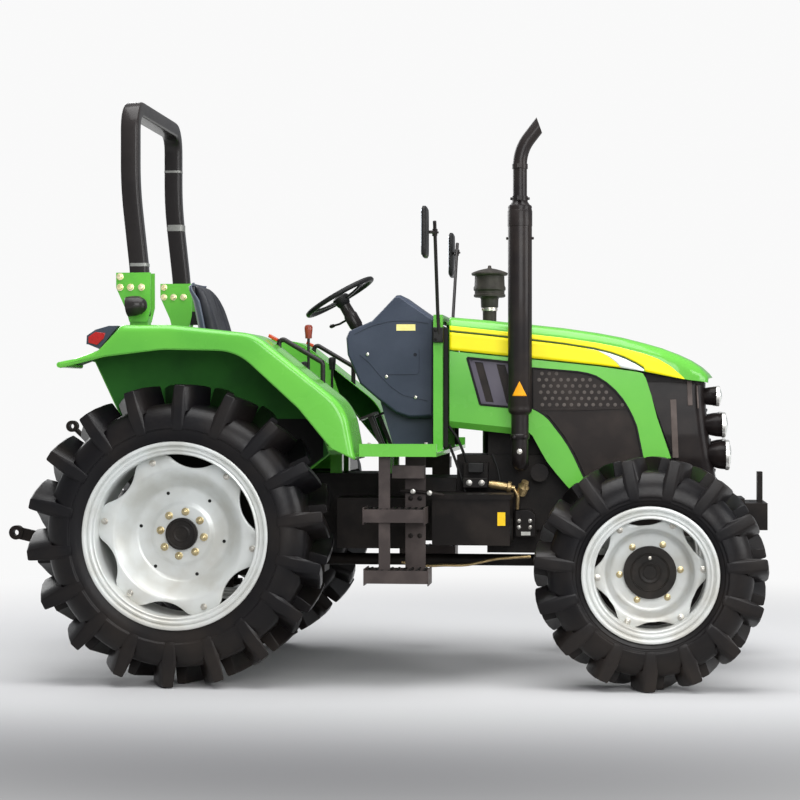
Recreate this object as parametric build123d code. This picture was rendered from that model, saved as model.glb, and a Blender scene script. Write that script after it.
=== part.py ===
from build123d import *
import os
from math import cos, pi, radians, sin

# Farm tractor with an open driver's station, a roll bar and four driven wheels, in millimetres.
# +X points forward, +Y to the driver's left and +Z up, with the ground at Z 0. Every X below is measured from
# the rear axle; keep() then moves each piece so that the origin lies midway along the whole tractor.
# A side is -1 for the right and +1 for the left.

SIDES = {"right": -1, "left": 1}

# ---------------------------------------------------------------- driving dimensions
WHEELBASE = 2250
REAR_TYRE_RADIUS = 725
REAR_TYRE_WIDTH = 380
REAR_TRACK = 1560
REAR_RIM_RADIUS = 432
REAR_RIM_WIDTH = 330
FRONT_TYRE_RADIUS = 552
FRONT_TYRE_WIDTH = 280
FRONT_TRACK = 1500
FRONT_RIM_RADIUS = 305
FRONT_RIM_WIDTH = 254

FLOOR_Z = 1105  # underside of the platform
FLOOR_THICK = 20
BONNET_HALF_WIDTH = 345  # at its rear edge
ARCH_REAR_X = 1190  # rear face of the hoop between the station and the bonnet
ARCH_TOP_Z = 1795
ROPS_TOP_Z = 2873
ROPS_Y = 500  # middle of a roll-bar post
REAR_REACH = 930  # from the rear axle back to the lower links' ball eyes
FRONT_REACH = 2840  # from the rear axle forward to the weight bracket's face

FIT = 0.3  # gap between curved faces that seat on one another
RUN = 0.05  # radial gap round a pin or shaft that turns or slides in its bore
GAP = 6  # gap between a moving piece and what it passes
SHEET = 6  # pressed sheet metal with its stiffening folds

REAR_Y = REAR_TRACK / 2
FRONT_Y = FRONT_TRACK / 2
REAR_Z = REAR_TYRE_RADIUS
FRONT_Z = FRONT_TYRE_RADIUS
FLOOR_TOP_Z = FLOOR_Z + FLOOR_THICK
LINK_EYE_RADIUS = 36
ORIGIN_X = (FRONT_REACH - REAR_REACH - LINK_EYE_RADIUS) / 2

PARTS = {}


def keep(name, *shapes):
    """Stores a piece, or several that don't touch, under its name and in the tractor's own frame."""
    solids = [Pos(-ORIGIN_X, 0, 0) * solid for shape in shapes for solid in shape.solids()]
    PARTS[name] = solids[0] if len(solids) == 1 else Compound(children=solids)


# ---------------------------------------------------------------- shapes used by many pieces
def block(xs, ys, zs):
    """A box from three pairs of limits, given in either order."""
    sizes = [abs(b - a) for a, b in (xs, ys, zs)]
    middle = [(a + b) / 2 for a, b in (xs, ys, zs)]
    return Pos(*middle) * Box(*sizes)


def rod(start, end, radius):
    """A round bar between two points."""
    start, end = Vector(*start), Vector(*end)
    return extrude(Plane(origin=start, z_dir=end - start) * Circle(radius), (end - start).length)


def cross_rod(x, z, ys, radius):
    """A round bar along Y."""
    low, high = sorted(ys)
    return rod((x, low, z), (x, high, z), radius)


def lengthwise_rod(xs, y, z, radius):
    """A round bar along X."""
    low, high = sorted(xs)
    return rod((low, y, z), (high, y, z), radius)


def upright_rod(x, y, zs, radius):
    """A round bar along Z."""
    low, high = sorted(zs)
    return rod((x, y, low), (x, y, high), radius)


def side_plate(points, ys):
    """A plate whose outline is a list of (x, z) corners, between two Y limits."""
    low, high = sorted(ys)
    outline = Wire.make_polygon([Vector(x, low, z) for x, z in points], close=True)
    return extrude(Face(outline), high - low, dir=(0, 1, 0))


def floor_plate(points, zs):
    """A plate whose outline is a list of (x, y) corners, between two Z limits."""
    outline = Wire.make_polygon([Vector(x, y, zs[0]) for x, y in points], close=True)
    return extrude(Face(outline), zs[1] - zs[0], dir=(0, 0, 1))


def pipe(points, radius, bend):
    """A round bar along straight runs with tangent bends of one radius."""
    path = FilletPolyline(*points, radius=bend)
    return sweep(Plane(origin=path @ 0, z_dir=path % 0) * Circle(radius), path=path)


def between(start, end, share):
    """The point at a share of the way from start to end."""
    return tuple(a + (b - a) * share for a, b in zip(start, end))


def turned(profile, x, y, z, side):
    """A ring turned about a wheel's axle. The profile lists (outboard offset, radius) points."""
    points = [Vector(x, y + side * offset, z + radius) for offset, radius in profile]
    return revolve(Face(Wire.make_polygon(points, close=True)), Axis((x, y, z), (0, 1, 0)), 360)


# ---------------------------------------------------------------- tyres
LUG_HEIGHT_SHARE = 0.36  # lug height over the height of the tyre's wall
LUG_SINK = 12  # depth of a lug's foot inside the carcass
LUG_BASE_HALF = 36
LUG_TIP_HALF = 24
LUG_OVERLAP = 14  # reach of a lug past the tyre's middle
LUG_LEAD = 0.86  # how far a lug's inner end leads its outer end, over the tyre's half width
BEAD_WALL = 22
FLANGE_HEIGHT = 18  # of the rim, above the bead's seat


def ring_point(x, y, z, angle, radius):
    """A point at an angle from straight up, turning towards the front."""
    return Vector(x + radius * sin(angle), y, z + radius * cos(angle))


def faceted_ring(x, y, z, side, sections, count):
    """A solid through regular polygons, listed as (outboard offset, flat-to-centre distance) pairs."""
    wires = []
    for offset, flat in sections:
        corner = flat / cos(pi / count)
        angles = [2 * pi * (k + 0.5) / count for k in range(count)]
        corners = [ring_point(x, y + side * offset, z, a, corner) for a in angles]
        wires.append(Wire.make_polygon(corners, close=True))
    return Solid.make_loft(wires, ruled=True)


def bar_through(stations):
    """A solid through stations of four corners each, skinned with flat triangles."""
    faces = [Face(Wire.make_polygon(ends, close=True)) for ends in (stations[0], stations[-1])]
    for near, far in zip(stations, stations[1:]):
        for k in range(4):
            a, b, c, d = near[k], near[(k + 1) % 4], far[(k + 1) % 4], far[k]
            faces.append(Face(Wire.make_polygon([a, b, c], close=True)))
            faces.append(Face(Wire.make_polygon([a, c, d], close=True)))
    return Solid(Shell(faces))


def lug(x, y, z, side, angle, half_width, radius, height, lead):
    """One deep lug from the shoulder, leading forward towards the tyre's middle."""
    # Station columns: outboard offset, angle ahead of the outer end, width over the width at the outer end
    stations = []
    for offset, ahead, width in ((half_width, 0.0, 1.0), (-LUG_OVERLAP, lead, 0.85)):
        foot = radius - height - LUG_SINK
        at = angle + ahead
        tip_half, foot_half = LUG_TIP_HALF * width / radius, LUG_BASE_HALF * width / foot
        foot_corners = [(at - foot_half, foot), (at + foot_half, foot)]
        tip_corners = [(at + tip_half, radius), (at - tip_half, radius)]
        stations.append([ring_point(x, y + side * offset, z, a, r) for a, r in foot_corners + tip_corners])
    return bar_through(stations)


def tyre(x, y, z, side, radius, width, rim_radius, rim_width, lugs):
    """A faceted carcass with deep lugs on both shoulders, half a pitch apart."""
    half, bead = width / 2, rim_width / 2 - 1
    seat = rim_radius + FIT
    wall = radius - rim_radius
    height = LUG_HEIGHT_SHARE * wall
    base = radius - height
    pitch = 2 * pi / lugs
    outer = [(bead, seat + FLANGE_HEIGHT + 4), (half - 4, seat + 0.38 * wall), (0.8 * half, base)]
    cavity = [(bead - BEAD_WALL, seat - 10), (half - 34, seat + 0.34 * wall), (0.7 * half, base - 30)]
    outer_sections = [(-a, r) for a, r in outer] + list(reversed(outer))
    cavity_sections = [(-a, r) for a, r in cavity] + list(reversed(cavity))
    body = faceted_ring(x, y, z, side, outer_sections, lugs)
    lead = LUG_LEAD * half / radius
    bars = []
    for shoulder, shift in ((1, 0.0), (-1, 0.5)):
        for k in range(lugs):
            bars.append(lug(x, y, z, side * shoulder, (k + shift) * pitch, half, radius, height, lead))
    body = body.fuse(*bars)
    body -= faceted_ring(x, y, z, side, cavity_sections, lugs)
    # The bead seat is cut through so that the ring slips over the rim.
    return body - faceted_ring(x, y, z, side, [(-half, seat), (half, seat)], lugs)


# ---------------------------------------------------------------- wheels and hubs
RIM_WALL = 8
WELL_DEPTH = 27
CENTRE_WALL = 10
RIM_LUG_HALF_WIDTH = 34
LOBES = 6

# The dished centres. Offsets are outboard of the wheel's middle plane; radii are about the axle.
REAR_CENTRE = {
    "ring_offset": 80, "lobe_radius": 392, "ring_inner": 312,
    "seat_offset": -22, "seat_radius": 228, "hub_radius": 78,
    "scallop_at": 510, "scallop_radius": 182, "first_lobe": 40, "rim_lug_from": 344, "rim_lug_depth": 2,
}
FRONT_CENTRE = {
    "ring_offset": 30, "lobe_radius": 266, "ring_inner": 218,
    "seat_offset": -56, "seat_radius": 183, "hub_radius": 126,
    "scallop_at": 440, "scallop_radius": 212, "first_lobe": 25, "rim_lug_from": 224, "rim_lug_depth": 23,
}


def rim(x, y, z, side, radius, width):
    """The pressed rim: two flanges, two bead seats and the well between them."""
    half = width / 2
    edge, crown = half + RIM_WALL, radius + FLANGE_HEIGHT
    well_out, well_in = radius - WELL_DEPTH, radius - WELL_DEPTH - RIM_WALL
    top = [(edge, crown), (half, crown), (half, radius), (half - 50, radius), (half - 74, well_out)]
    under = [(half - 78, well_in), (half - 54, radius - RIM_WALL), (edge, radius - RIM_WALL)]
    profile = top + [(-a, r) for a, r in reversed(top)] + [(-a, r) for a, r in reversed(under)] + under
    return turned(profile, x, y, z, side)


def wheel_centre(x, y, z, side, rim_radius, spec):
    """The dished centre: a lobed ring, a cone down to the hub seat, and the lugs that bolt it to the rim."""
    ring, seat = spec["ring_offset"], spec["seat_offset"]
    back = ring - CENTRE_WALL
    centre = turned(
        [
            (ring, spec["lobe_radius"]),
            (ring, spec["ring_inner"]),
            (seat, spec["seat_radius"]),
            (seat, spec["hub_radius"]),
            (seat - CENTRE_WALL, spec["hub_radius"]),
            (seat - CENTRE_WALL, spec["seat_radius"] + CENTRE_WALL / 2),
            (back, spec["ring_inner"] + CENTRE_WALL / 2),
            (back, spec["lobe_radius"]),
        ],
        x, y, z, side,
    )
    lug_top = rim_radius - spec["rim_lug_depth"] - RIM_WALL
    lug_ys = (side * back, side * (back - 22))
    for k in range(LOBES):
        # Angles turn from straight up towards the front.
        lobe = spec["first_lobe"] + 360 / LOBES * k
        gap = radians(lobe + 180 / LOBES)
        at_x, at_z = x + spec["scallop_at"] * sin(gap), z + spec["scallop_at"] * cos(gap)
        centre -= cross_rod(at_x, at_z, (y - 2 * ring - 200, y + 2 * ring + 200), spec["scallop_radius"])
    for k in range(LOBES):
        lobe = spec["first_lobe"] + 360 / LOBES * k
        bar = block((-RIM_LUG_HALF_WIDTH, RIM_LUG_HALF_WIDTH), lug_ys, (spec["rim_lug_from"], lug_top))
        centre += Pos(x, y, z) * Rot(0, lobe, 0) * bar
    return centre


HALF_SHAFT_RADIUS = 45
HALF_SHAFT_DEPTH = 120  # reach of the half shaft into its housing
HUB_FLANGE = 30
HUB_NECK = 45


def rear_hub(side):
    """The axle end: half shaft, flange behind the wheel centre, and the dark cap through its middle."""
    y = side * REAR_Y
    seat = REAR_CENTRE["seat_offset"]
    back = seat - CENTRE_WALL
    flange = cross_rod(0, REAR_Z, (y + side * (back - HUB_FLANGE), y + side * back), 150)
    neck = cross_rod(0, REAR_Z, (y + side * (back - HUB_FLANGE - HUB_NECK), y + side * back), 60)
    shaft_end = AXLE_END_Y - HALF_SHAFT_DEPTH + 5
    shaft = cross_rod(0, REAR_Z, (side * shaft_end, y + side * back), HALF_SHAFT_RADIUS)
    cap = cross_rod(0, REAR_Z, (y + side * back, y + side * (seat + 34)), REAR_CENTRE["hub_radius"] - FIT)
    return flange + neck + shaft + cap


KINGPIN_Y = 556
KNUCKLE_RADIUS = 62
HUB_BACK_Y = 628  # inboard face of the planetary hub drum
SPINDLE_RADIUS = 50
SPINDLE_DEPTH = 40


def front_hub(side):
    """The planetary hub: a drum between the knuckle and the wheel centre, with its dark cover."""
    y = side * FRONT_Y
    seat = FRONT_CENTRE["seat_offset"]
    drum_face = y + side * (seat - CENTRE_WALL)
    drum = cross_rod(WHEELBASE, FRONT_Z, (side * HUB_BACK_Y, drum_face), 165)
    socket = (side * (HUB_BACK_Y - 1), side * (HUB_BACK_Y + SPINDLE_DEPTH + 1))
    drum -= cross_rod(WHEELBASE, FRONT_Z, socket, SPINDLE_RADIUS + RUN)
    cover_ys = (drum_face, y + side * (seat + 24))
    return drum + cross_rod(WHEELBASE, FRONT_Z, cover_ys, FRONT_CENTRE["hub_radius"] - FIT)


REAR_LUGS = 18
FRONT_LUGS = 15


def make_wheels():
    for name, side in SIDES.items():
        rear = (0, side * REAR_Y, REAR_Z, side)
        front = (WHEELBASE, side * FRONT_Y, FRONT_Z, side)
        keep(
            f"rear_tyre_{name}",
            tyre(*rear, REAR_TYRE_RADIUS, REAR_TYRE_WIDTH, REAR_RIM_RADIUS, REAR_RIM_WIDTH, REAR_LUGS),
        )
        keep(
            f"front_tyre_{name}",
            tyre(*front, FRONT_TYRE_RADIUS, FRONT_TYRE_WIDTH, FRONT_RIM_RADIUS, FRONT_RIM_WIDTH, FRONT_LUGS),
        )
        rear_rim = rim(*rear, REAR_RIM_RADIUS, REAR_RIM_WIDTH)
        front_rim = rim(*front, FRONT_RIM_RADIUS, FRONT_RIM_WIDTH)
        keep(f"rear_wheel_{name}", rear_rim + wheel_centre(*rear, REAR_RIM_RADIUS, REAR_CENTRE))
        keep(f"front_wheel_{name}", front_rim + wheel_centre(*front, FRONT_RIM_RADIUS, FRONT_CENTRE))
        keep(f"rear_hub_{name}", rear_hub(side))
        keep(f"front_hub_{name}", front_hub(side))


# ---------------------------------------------------------------- transmission and rear axle
CASE_HALF_WIDTH = 215
CASE_FLOOR_Z = 480
CASE_TOP_Z = 940
GEARBOX_HALF_WIDTH = 190
GEARBOX_FLOOR_Z = 664
GEARBOX_TOP_Z = 1000
GEARBOX_FRONT_X = 1290
CLUTCH_REAR_X = 960
TRANSFER_FRONT_X = 600
TRANSFER_FLOOR_Z = 490
LIFT_COVER_TOP_Z = 1110
REAR_FACE_X = -330
TRUMPET_RADIUS = 92
AXLE_END_Y = REAR_Y + REAR_CENTRE["seat_offset"] - CENTRE_WALL - HUB_FLANGE - HUB_NECK - FIT
ROCKSHAFT_X = -150
ROCKSHAFT_Z = 1040
ROCKSHAFT_RADIUS = 32
LINK_PIVOT_X = -110
LINK_PIVOT_Z = 500
LINK_PIVOT_Y = 240
LINK_PIN_RADIUS = 14


def transmission():
    """Clutch housing, gearbox, rear case, axle trumpets and hydraulic lift cover, bolted up as one."""
    body = block((CLUTCH_REAR_X, GEARBOX_FRONT_X), (-240, 240), (GEARBOX_FLOOR_Z, 980))
    half = GEARBOX_HALF_WIDTH
    body += block((280, CLUTCH_REAR_X), (-half, half), (GEARBOX_FLOOR_Z, GEARBOX_TOP_Z))
    body += block((REAR_FACE_X, 300), (-CASE_HALF_WIDTH, CASE_HALF_WIDTH), (CASE_FLOOR_Z, CASE_TOP_Z))
    body += block((REAR_FACE_X + 60, 230), (-170, 170), (CASE_TOP_Z, LIFT_COVER_TOP_Z))
    # Transfer case of the front drive, under the gearbox.
    body += block((300, TRANSFER_FRONT_X), (-90, 90), (TRANSFER_FLOOR_Z, GEARBOX_FLOOR_Z))
    # Bearing block of the rockshaft.
    body += block((ROCKSHAFT_X - 75, ROCKSHAFT_X + 75), (-230, 230), (CASE_TOP_Z, ROCKSHAFT_Z + 60))
    for side in SIDES.values():
        case = side * CASE_HALF_WIDTH
        end = side * AXLE_END_Y
        body += cross_rod(0, REAR_Z, (case, case + side * 40), 190)
        body += cross_rod(0, REAR_Z, (case, end), TRUMPET_RADIUS)
        body += cross_rod(0, REAR_Z, (end - side * 45, end), 120)
        body -= cross_rod(0, REAR_Z, (end - side * HALF_SHAFT_DEPTH, end + side), HALF_SHAFT_RADIUS + RUN)
        # Pin that carries the lower link.
        body += cross_rod(LINK_PIVOT_X, LINK_PIVOT_Z, (case, side * (LINK_PIVOT_Y + 34)), LINK_PIN_RADIUS)
    return body - cross_rod(ROCKSHAFT_X, ROCKSHAFT_Z, (-240, 240), ROCKSHAFT_RADIUS + RUN)


PTO_Z = 640
PTO_RADIUS = 17.5
PTO_LENGTH = 100
PTO_GUARD_REACH = 110
PTO_GUARD_HALF_WIDTH = 95
PTO_GUARD_TOP_Z = PTO_Z + 86
PTO_GUARD_WALL = 8


def pto_shaft():
    """The power take-off shaft, standing out of the rear case under its guard."""
    end = REAR_FACE_X - PTO_GUARD_REACH
    half, top = PTO_GUARD_HALF_WIDTH, PTO_GUARD_TOP_Z
    guard = block((end, REAR_FACE_X), (-half, half), (top - PTO_GUARD_WALL, top))
    for side in SIDES.values():
        guard += block((end, REAR_FACE_X), (side * (half - PTO_GUARD_WALL), side * half), (PTO_Z - 20, top))
    return lengthwise_rod((REAR_FACE_X - PTO_LENGTH, REAR_FACE_X), 0, PTO_Z, PTO_RADIUS), guard


DRAWBAR_Z = 430
DRAWBAR_END_X = -620
DRAWBAR_HOLE_INSET = 45
DRAWBAR_HALF_WIDTH = 38
DRAWBAR_HALF_THICKNESS = 14
DRAWBAR_HOLE_RADIUS = 15
HANGER_WALL = 12


def drawbar():
    """The drawbar in its two hangers under the rear case, with its pin hole at the rear."""
    low, high = DRAWBAR_Z - DRAWBAR_HALF_THICKNESS, DRAWBAR_Z + DRAWBAR_HALF_THICKNESS
    body = block((DRAWBAR_END_X, 150), (-DRAWBAR_HALF_WIDTH, DRAWBAR_HALF_WIDTH), (low, high))
    body -= upright_rod(DRAWBAR_END_X + DRAWBAR_HOLE_INSET, 0, (low - 10, high + 10), DRAWBAR_HOLE_RADIUS)
    for x in (-290, 80):
        xs = (x, x + 40)
        body += block(xs, (-70, 70), (low - HANGER_WALL, low))
        for side in SIDES.values():
            body += block(xs, (side * 50, side * 70), (low - HANGER_WALL, CASE_FLOOR_Z))
    return body


# ---------------------------------------------------------------- three-point hitch
LINK_BALL_X = -REAR_REACH
LINK_BALL_Y = 400
LINK_BALL_Z = 702
LINK_BALL_RADIUS = 14.35
LINK_FRONT_Y = LINK_PIVOT_Y + 16
LINK_HALF_THICKNESS = 10
LINK_HALF_DEPTH = 30
LIFT_ARM_Y = 262  # middle of a lift arm
LIFT_ARM_LENGTH = 270
LIFT_ARM_HALF_THICKNESS = 14
LIFT_PIN_RADIUS = 11
ROD_TOP_X = ROCKSHAFT_X - LIFT_ARM_LENGTH
ROD_TOP_Z = ROCKSHAFT_Z + 45
ROD_FOOT_SHARE = 0.52  # of the way along the lower link
LIFT_ROD_Y = LIFT_ARM_Y + LIFT_ARM_HALF_THICKNESS + 18


def lower_link(side):
    """A flat bar on edge, with an eye on its front pin and a ball eye at its rear end."""
    front = (LINK_PIVOT_X, side * LINK_FRONT_Y, LINK_PIVOT_Z)
    rear = (LINK_BALL_X, side * LINK_BALL_Y, LINK_BALL_Z)
    run = Vector(*rear) - Vector(*front)
    section = Rectangle(2 * LINK_HALF_THICKNESS, 2 * LINK_HALF_DEPTH)
    link = extrude(Plane(origin=front, z_dir=run, x_dir=(0, 1, 0)) * section, run.length)
    link += cross_rod(front[0], front[2], (front[1] - 12, front[1] + 12), 34)
    link += cross_rod(rear[0], rear[2], (rear[1] - 18, rear[1] + 18), LINK_EYE_RADIUS)
    link -= cross_rod(front[0], front[2], (front[1] - 60, front[1] + 60), LINK_PIN_RADIUS + RUN)
    return link - cross_rod(rear[0], rear[2], (rear[1] - 60, rear[1] + 60), LINK_BALL_RADIUS)


def lift_arms():
    """The rockshaft with a lift arm keyed to each end."""
    end = LIFT_ARM_Y + LIFT_ARM_HALF_THICKNESS
    body = cross_rod(ROCKSHAFT_X, ROCKSHAFT_Z, (-end, end), ROCKSHAFT_RADIUS)
    outline = [
        (ROCKSHAFT_X, ROCKSHAFT_Z - 50), (ROCKSHAFT_X, ROCKSHAFT_Z + 50),
        (ROD_TOP_X, ROD_TOP_Z + 28), (ROD_TOP_X, ROD_TOP_Z - 28),
    ]
    for side in SIDES.values():
        faces = (side * (LIFT_ARM_Y - LIFT_ARM_HALF_THICKNESS), side * end)
        body += cross_rod(ROCKSHAFT_X, ROCKSHAFT_Z, faces, 55) + cross_rod(ROD_TOP_X, ROD_TOP_Z, faces, 30)
        body += side_plate(outline, faces)
        # Pin that carries the lift rod.
        body += cross_rod(ROD_TOP_X, ROD_TOP_Z, (faces[0], side * (end + 34)), LIFT_PIN_RADIUS)
    return body


def lift_rod(side):
    """The screwed lift rod that hangs from a lift arm and ends beside the lower link."""
    link_front = (LINK_PIVOT_X, side * LINK_FRONT_Y, LINK_PIVOT_Z)
    link_rear = (LINK_BALL_X, side * LINK_BALL_Y, LINK_BALL_Z)
    at = between(link_front, link_rear, ROD_FOOT_SHARE)
    top = (ROD_TOP_X, side * LIFT_ROD_Y, ROD_TOP_Z)
    foot = (at[0], at[1] + side * 38, at[2])
    body = cross_rod(top[0], top[2], (top[1] - 13, top[1] + 13), 26)
    body += rod(top, foot, 12) + rod(between(top, foot, 0.3), between(top, foot, 0.72), 20)
    body += cross_rod(foot[0], foot[2], (foot[1] - 12, foot[1] + 12), 28)
    return body - cross_rod(top[0], top[2], (top[1] - 60, top[1] + 60), LIFT_PIN_RADIUS + RUN)


TOP_LINK_BASE_X = REAR_FACE_X - 40
TOP_LINK_BASE_Z = 880
TOP_LINK_END_X = -748
TOP_LINK_END_Z = 1235
TOP_LINK_BALL_RADIUS = 12.85


def top_link():
    """The turnbuckle top link, stowed leaning up from its bracket behind the rear case."""
    x, z = TOP_LINK_BASE_X, TOP_LINK_BASE_Z
    body = block((REAR_FACE_X - 12, REAR_FACE_X), (-60, 60), (z - 60, z + 55))
    for side in SIDES.values():
        body += block((x - 35, REAR_FACE_X - 12), (side * 22, side * 34), (z - 50, z + 45))
    body += cross_rod(x, z, (-34, 34), TOP_LINK_BALL_RADIUS)
    start, end = (x, 0, z), (TOP_LINK_END_X, 0, TOP_LINK_END_Z)
    body += cross_rod(x, z, (-17, 17), 30) + cross_rod(end[0], end[2], (-22, 22), 30)
    body += rod(start, end, 13) + rod(between(start, end, 0.25), between(start, end, 0.7), 21)
    return body - cross_rod(end[0], end[2], (-40, 40), TOP_LINK_BALL_RADIUS)


def make_drive_line():
    keep("transmission", transmission())
    keep("pto_shaft", *pto_shaft())
    keep("drawbar", drawbar())
    keep("top_link", top_link())
    keep("lower_links", *[lower_link(side) for side in SIDES.values()])
    keep("lift_arms", lift_arms())
    keep("lift_rods", *[lift_rod(side) for side in SIDES.values()])


# ---------------------------------------------------------------- engine and front support
ENGINE_FRONT_X = 2010
CRANKCASE_TOP_Z = 1095
HEAD_REAR_X = 1445
HEAD_TOP_Z = 1330
BRACKET_DEPTH = 110
SUPPORT_FRONT_X = FRONT_REACH - BRACKET_DEPTH
SUPPORT_HALF_WIDTH = 150
SUPPORT_FLOOR_Z = 690
SUPPORT_TOP_Z = 880
BRACKET_Z = (724, 858)
BRACKET_HOLE_RADIUS = 15
TRUNNION_RADIUS = 48
HANGER_FACES = (70, 92)  # distance of a hanger's two faces from the axle's middle plane
FAN_Z = 1080


def engine():
    """Engine mass: sump, crankcase, head and cover, the pump and filters, the fan, and the radiator."""
    rear, front = GEARBOX_FRONT_X, ENGINE_FRONT_X
    body = block((rear + 150, front - 60), (-150, 150), (600, 720))
    body += block((rear, front), (-200, 200), (720, CRANKCASE_TOP_Z))
    body += block((HEAD_REAR_X, front - 50), (-150, 150), (CRANKCASE_TOP_Z, HEAD_TOP_Z))
    body += block((HEAD_REAR_X + 30, front - 80), (-110, 60), (HEAD_TOP_Z, HEAD_TOP_Z + 70))
    body += block((rear + 40, rear + 160), (-270, -200), (940, 1060))
    body += cross_rod(rear + 420, 1010, (-285, -200), 45) + cross_rod(front - 80, 850, (-270, 200), 60)
    radiator_rear = front + 100
    body += block((radiator_rear, radiator_rear + 70), (-230, 230), (SUPPORT_TOP_Z, 1400))
    body += lengthwise_rod((front, radiator_rear), 0, FAN_Z, 60)
    return body + lengthwise_rod((front + 45, front + 75), 0, FAN_Z, 200)


def front_support():
    """Cast bolster bolted to the engine, with the hangers for the axle's trunnions and the weight bracket."""
    half = SUPPORT_HALF_WIDTH
    body = block((ENGINE_FRONT_X, SUPPORT_FRONT_X), (-half, half), (SUPPORT_FLOOR_Z, SUPPORT_TOP_Z))
    for sign in (-1, 1):
        near, far = (WHEELBASE + sign * face for face in HANGER_FACES)
        body += block((near, far), (-95, 95), (FRONT_Z - 70, SUPPORT_FLOOR_Z))
    body -= lengthwise_rod((WHEELBASE - 200, WHEELBASE + 100), 0, FRONT_Z, TRUNNION_RADIUS + RUN)
    body += block((SUPPORT_FRONT_X, FRONT_REACH), (-190, 190), BRACKET_Z)
    body += block((FRONT_REACH - 40, FRONT_REACH - 15), (-45, 45), (BRACKET_Z[1], 1010))
    hole_x = SUPPORT_FRONT_X + 45
    return body - upright_rod(hole_x, 0, (BRACKET_Z[0] - 10, BRACKET_Z[1] + 10), BRACKET_HOLE_RADIUS)


FRONT_BEAM_RADIUS = 58
YOKE_REACH = 46
YOKE_FACES = (96, 124)  # distance of a yoke arm's two faces above and below the axle
YOKE_ROOT_Y = KINGPIN_Y - KNUCKLE_RADIUS - GAP
KINGPIN_RADIUS = 20
TIE_ROD_X = WHEELBASE + 134
TIE_ROD_RADIUS = 14
STEER_ARM = 150
STEER_ARM_HALF_THICKNESS = 11
TIE_EYE_HALF_THICKNESS = 16
TIE_ROD_Z = FRONT_Z - STEER_ARM_HALF_THICKNESS - GAP - TIE_EYE_HALF_THICKNESS
CYLINDER_HALF_LENGTH = 190


def front_axle():
    """Driven axle beam: centre housing, trunnions, tubes, end yokes and the steering cylinder."""
    x, z = WHEELBASE, FRONT_Z
    body = lengthwise_rod((x - 66, x + 66), 0, z, 105)
    body += lengthwise_rod((x - HANGER_FACES[1] - 10, x + HANGER_FACES[1]), 0, z, TRUNNION_RADIUS)
    body += cross_rod(x, z, (-YOKE_ROOT_Y + 30, YOKE_ROOT_Y - 30), FRONT_BEAM_RADIUS)
    reach = (x - YOKE_REACH, x + YOKE_REACH)
    for side in SIDES.values():
        root, pin = side * YOKE_ROOT_Y, side * KINGPIN_Y
        body += block(reach, (root - side * 30, root), (z - YOKE_FACES[1], z + YOKE_FACES[1]))
        for end in (-1, 1):
            faces = [z + end * face for face in YOKE_FACES]
            body += block(reach, (root, pin), faces) + upright_rod(x, pin, faces, YOKE_REACH)
        body -= upright_rod(x, pin, (z - 200, z + 200), KINGPIN_RADIUS + RUN)
        # Foot of the steering cylinder.
        foot = (side * (CYLINDER_HALF_LENGTH - 40), side * CYLINDER_HALF_LENGTH)
        body += block((x + 40, TIE_ROD_X), foot, (TIE_ROD_Z - 20, TIE_ROD_Z + 20))
    half = CYLINDER_HALF_LENGTH
    body += cross_rod(TIE_ROD_X, TIE_ROD_Z, (-half, half), 34)
    return body - cross_rod(TIE_ROD_X, TIE_ROD_Z, (-half - 10, half + 10), TIE_ROD_RADIUS + RUN)


def knuckle(side):
    """Steering knuckle: a barrel on the kingpins, the spindle of the hub, and the arm over the tie rod."""
    x, y, z = WHEELBASE, side * KINGPIN_Y, FRONT_Z
    barrel_half = YOKE_FACES[0] - 1
    arm = (z - STEER_ARM_HALF_THICKNESS, z + STEER_ARM_HALF_THICKNESS)
    body = upright_rod(x, y, (z - barrel_half, z + barrel_half), KNUCKLE_RADIUS)
    body += upright_rod(x, y, (z - YOKE_FACES[1], z + YOKE_FACES[1]), KINGPIN_RADIUS)
    body += cross_rod(x, z, (y, side * (HUB_BACK_Y + SPINDLE_DEPTH)), SPINDLE_RADIUS)
    return body + block((x, x + STEER_ARM), (y - 24, y + 24), arm) + upright_rod(x + STEER_ARM, y, arm, 24)


def tie_rod():
    """The steering cylinder's through rod, with a flat eye under each steering arm."""
    body = cross_rod(TIE_ROD_X, TIE_ROD_Z, (-KINGPIN_Y, KINGPIN_Y), TIE_ROD_RADIUS)
    faces = (TIE_ROD_Z - TIE_EYE_HALF_THICKNESS, TIE_ROD_Z + TIE_EYE_HALF_THICKNESS)
    for side in SIDES.values():
        body += upright_rod(TIE_ROD_X, side * KINGPIN_Y, faces, 28)
    return body


def drive_shaft():
    """The tube over the front axle's drive shaft, from the transfer case to the axle's rear trunnion."""
    return lengthwise_rod((TRANSFER_FRONT_X, WHEELBASE - HANGER_FACES[1] - 10), 0, FRONT_Z, 30)


def make_front_end():
    keep("engine", engine())
    keep("front_support", front_support())
    keep("front_axle", front_axle())
    for name, side in SIDES.items():
        keep(f"knuckle_{name}", knuckle(side))
    keep("tie_rod", tie_rod())
    keep("drive_shaft", drive_shaft())


# ---------------------------------------------------------------- fenders
FENDER_INNER_Y = 552
FENDER_OUTER_Y = 950
FENDER_TOP_Z = 1731
FENDER_FRONT_X = 865
TAIL_X = -560
WALL_REAR_X = -379

# Corners of the fender's upper face from its front foot back to its tail: distance ahead of the rear axle,
# drop below the fender's top, and radius of the bend there
FENDER_CORNERS = [
    (FENDER_FRONT_X, 641, 0),
    (818, 391, 240),
    (384, 44, 200),
    (-15, 0, 400),
    (-262, 0, 30),
    (-373, 119, 30),
    (TAIL_X, 185, 0),
]
# Corners of the turned-down lip's lower edge, with the same columns
LIP_CORNERS = [
    (762, 592, 0),
    (600, 395, 300),
    (300, 120, 260),
    (-60, 112, 400),
    (-345, 146, 0),
]


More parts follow.
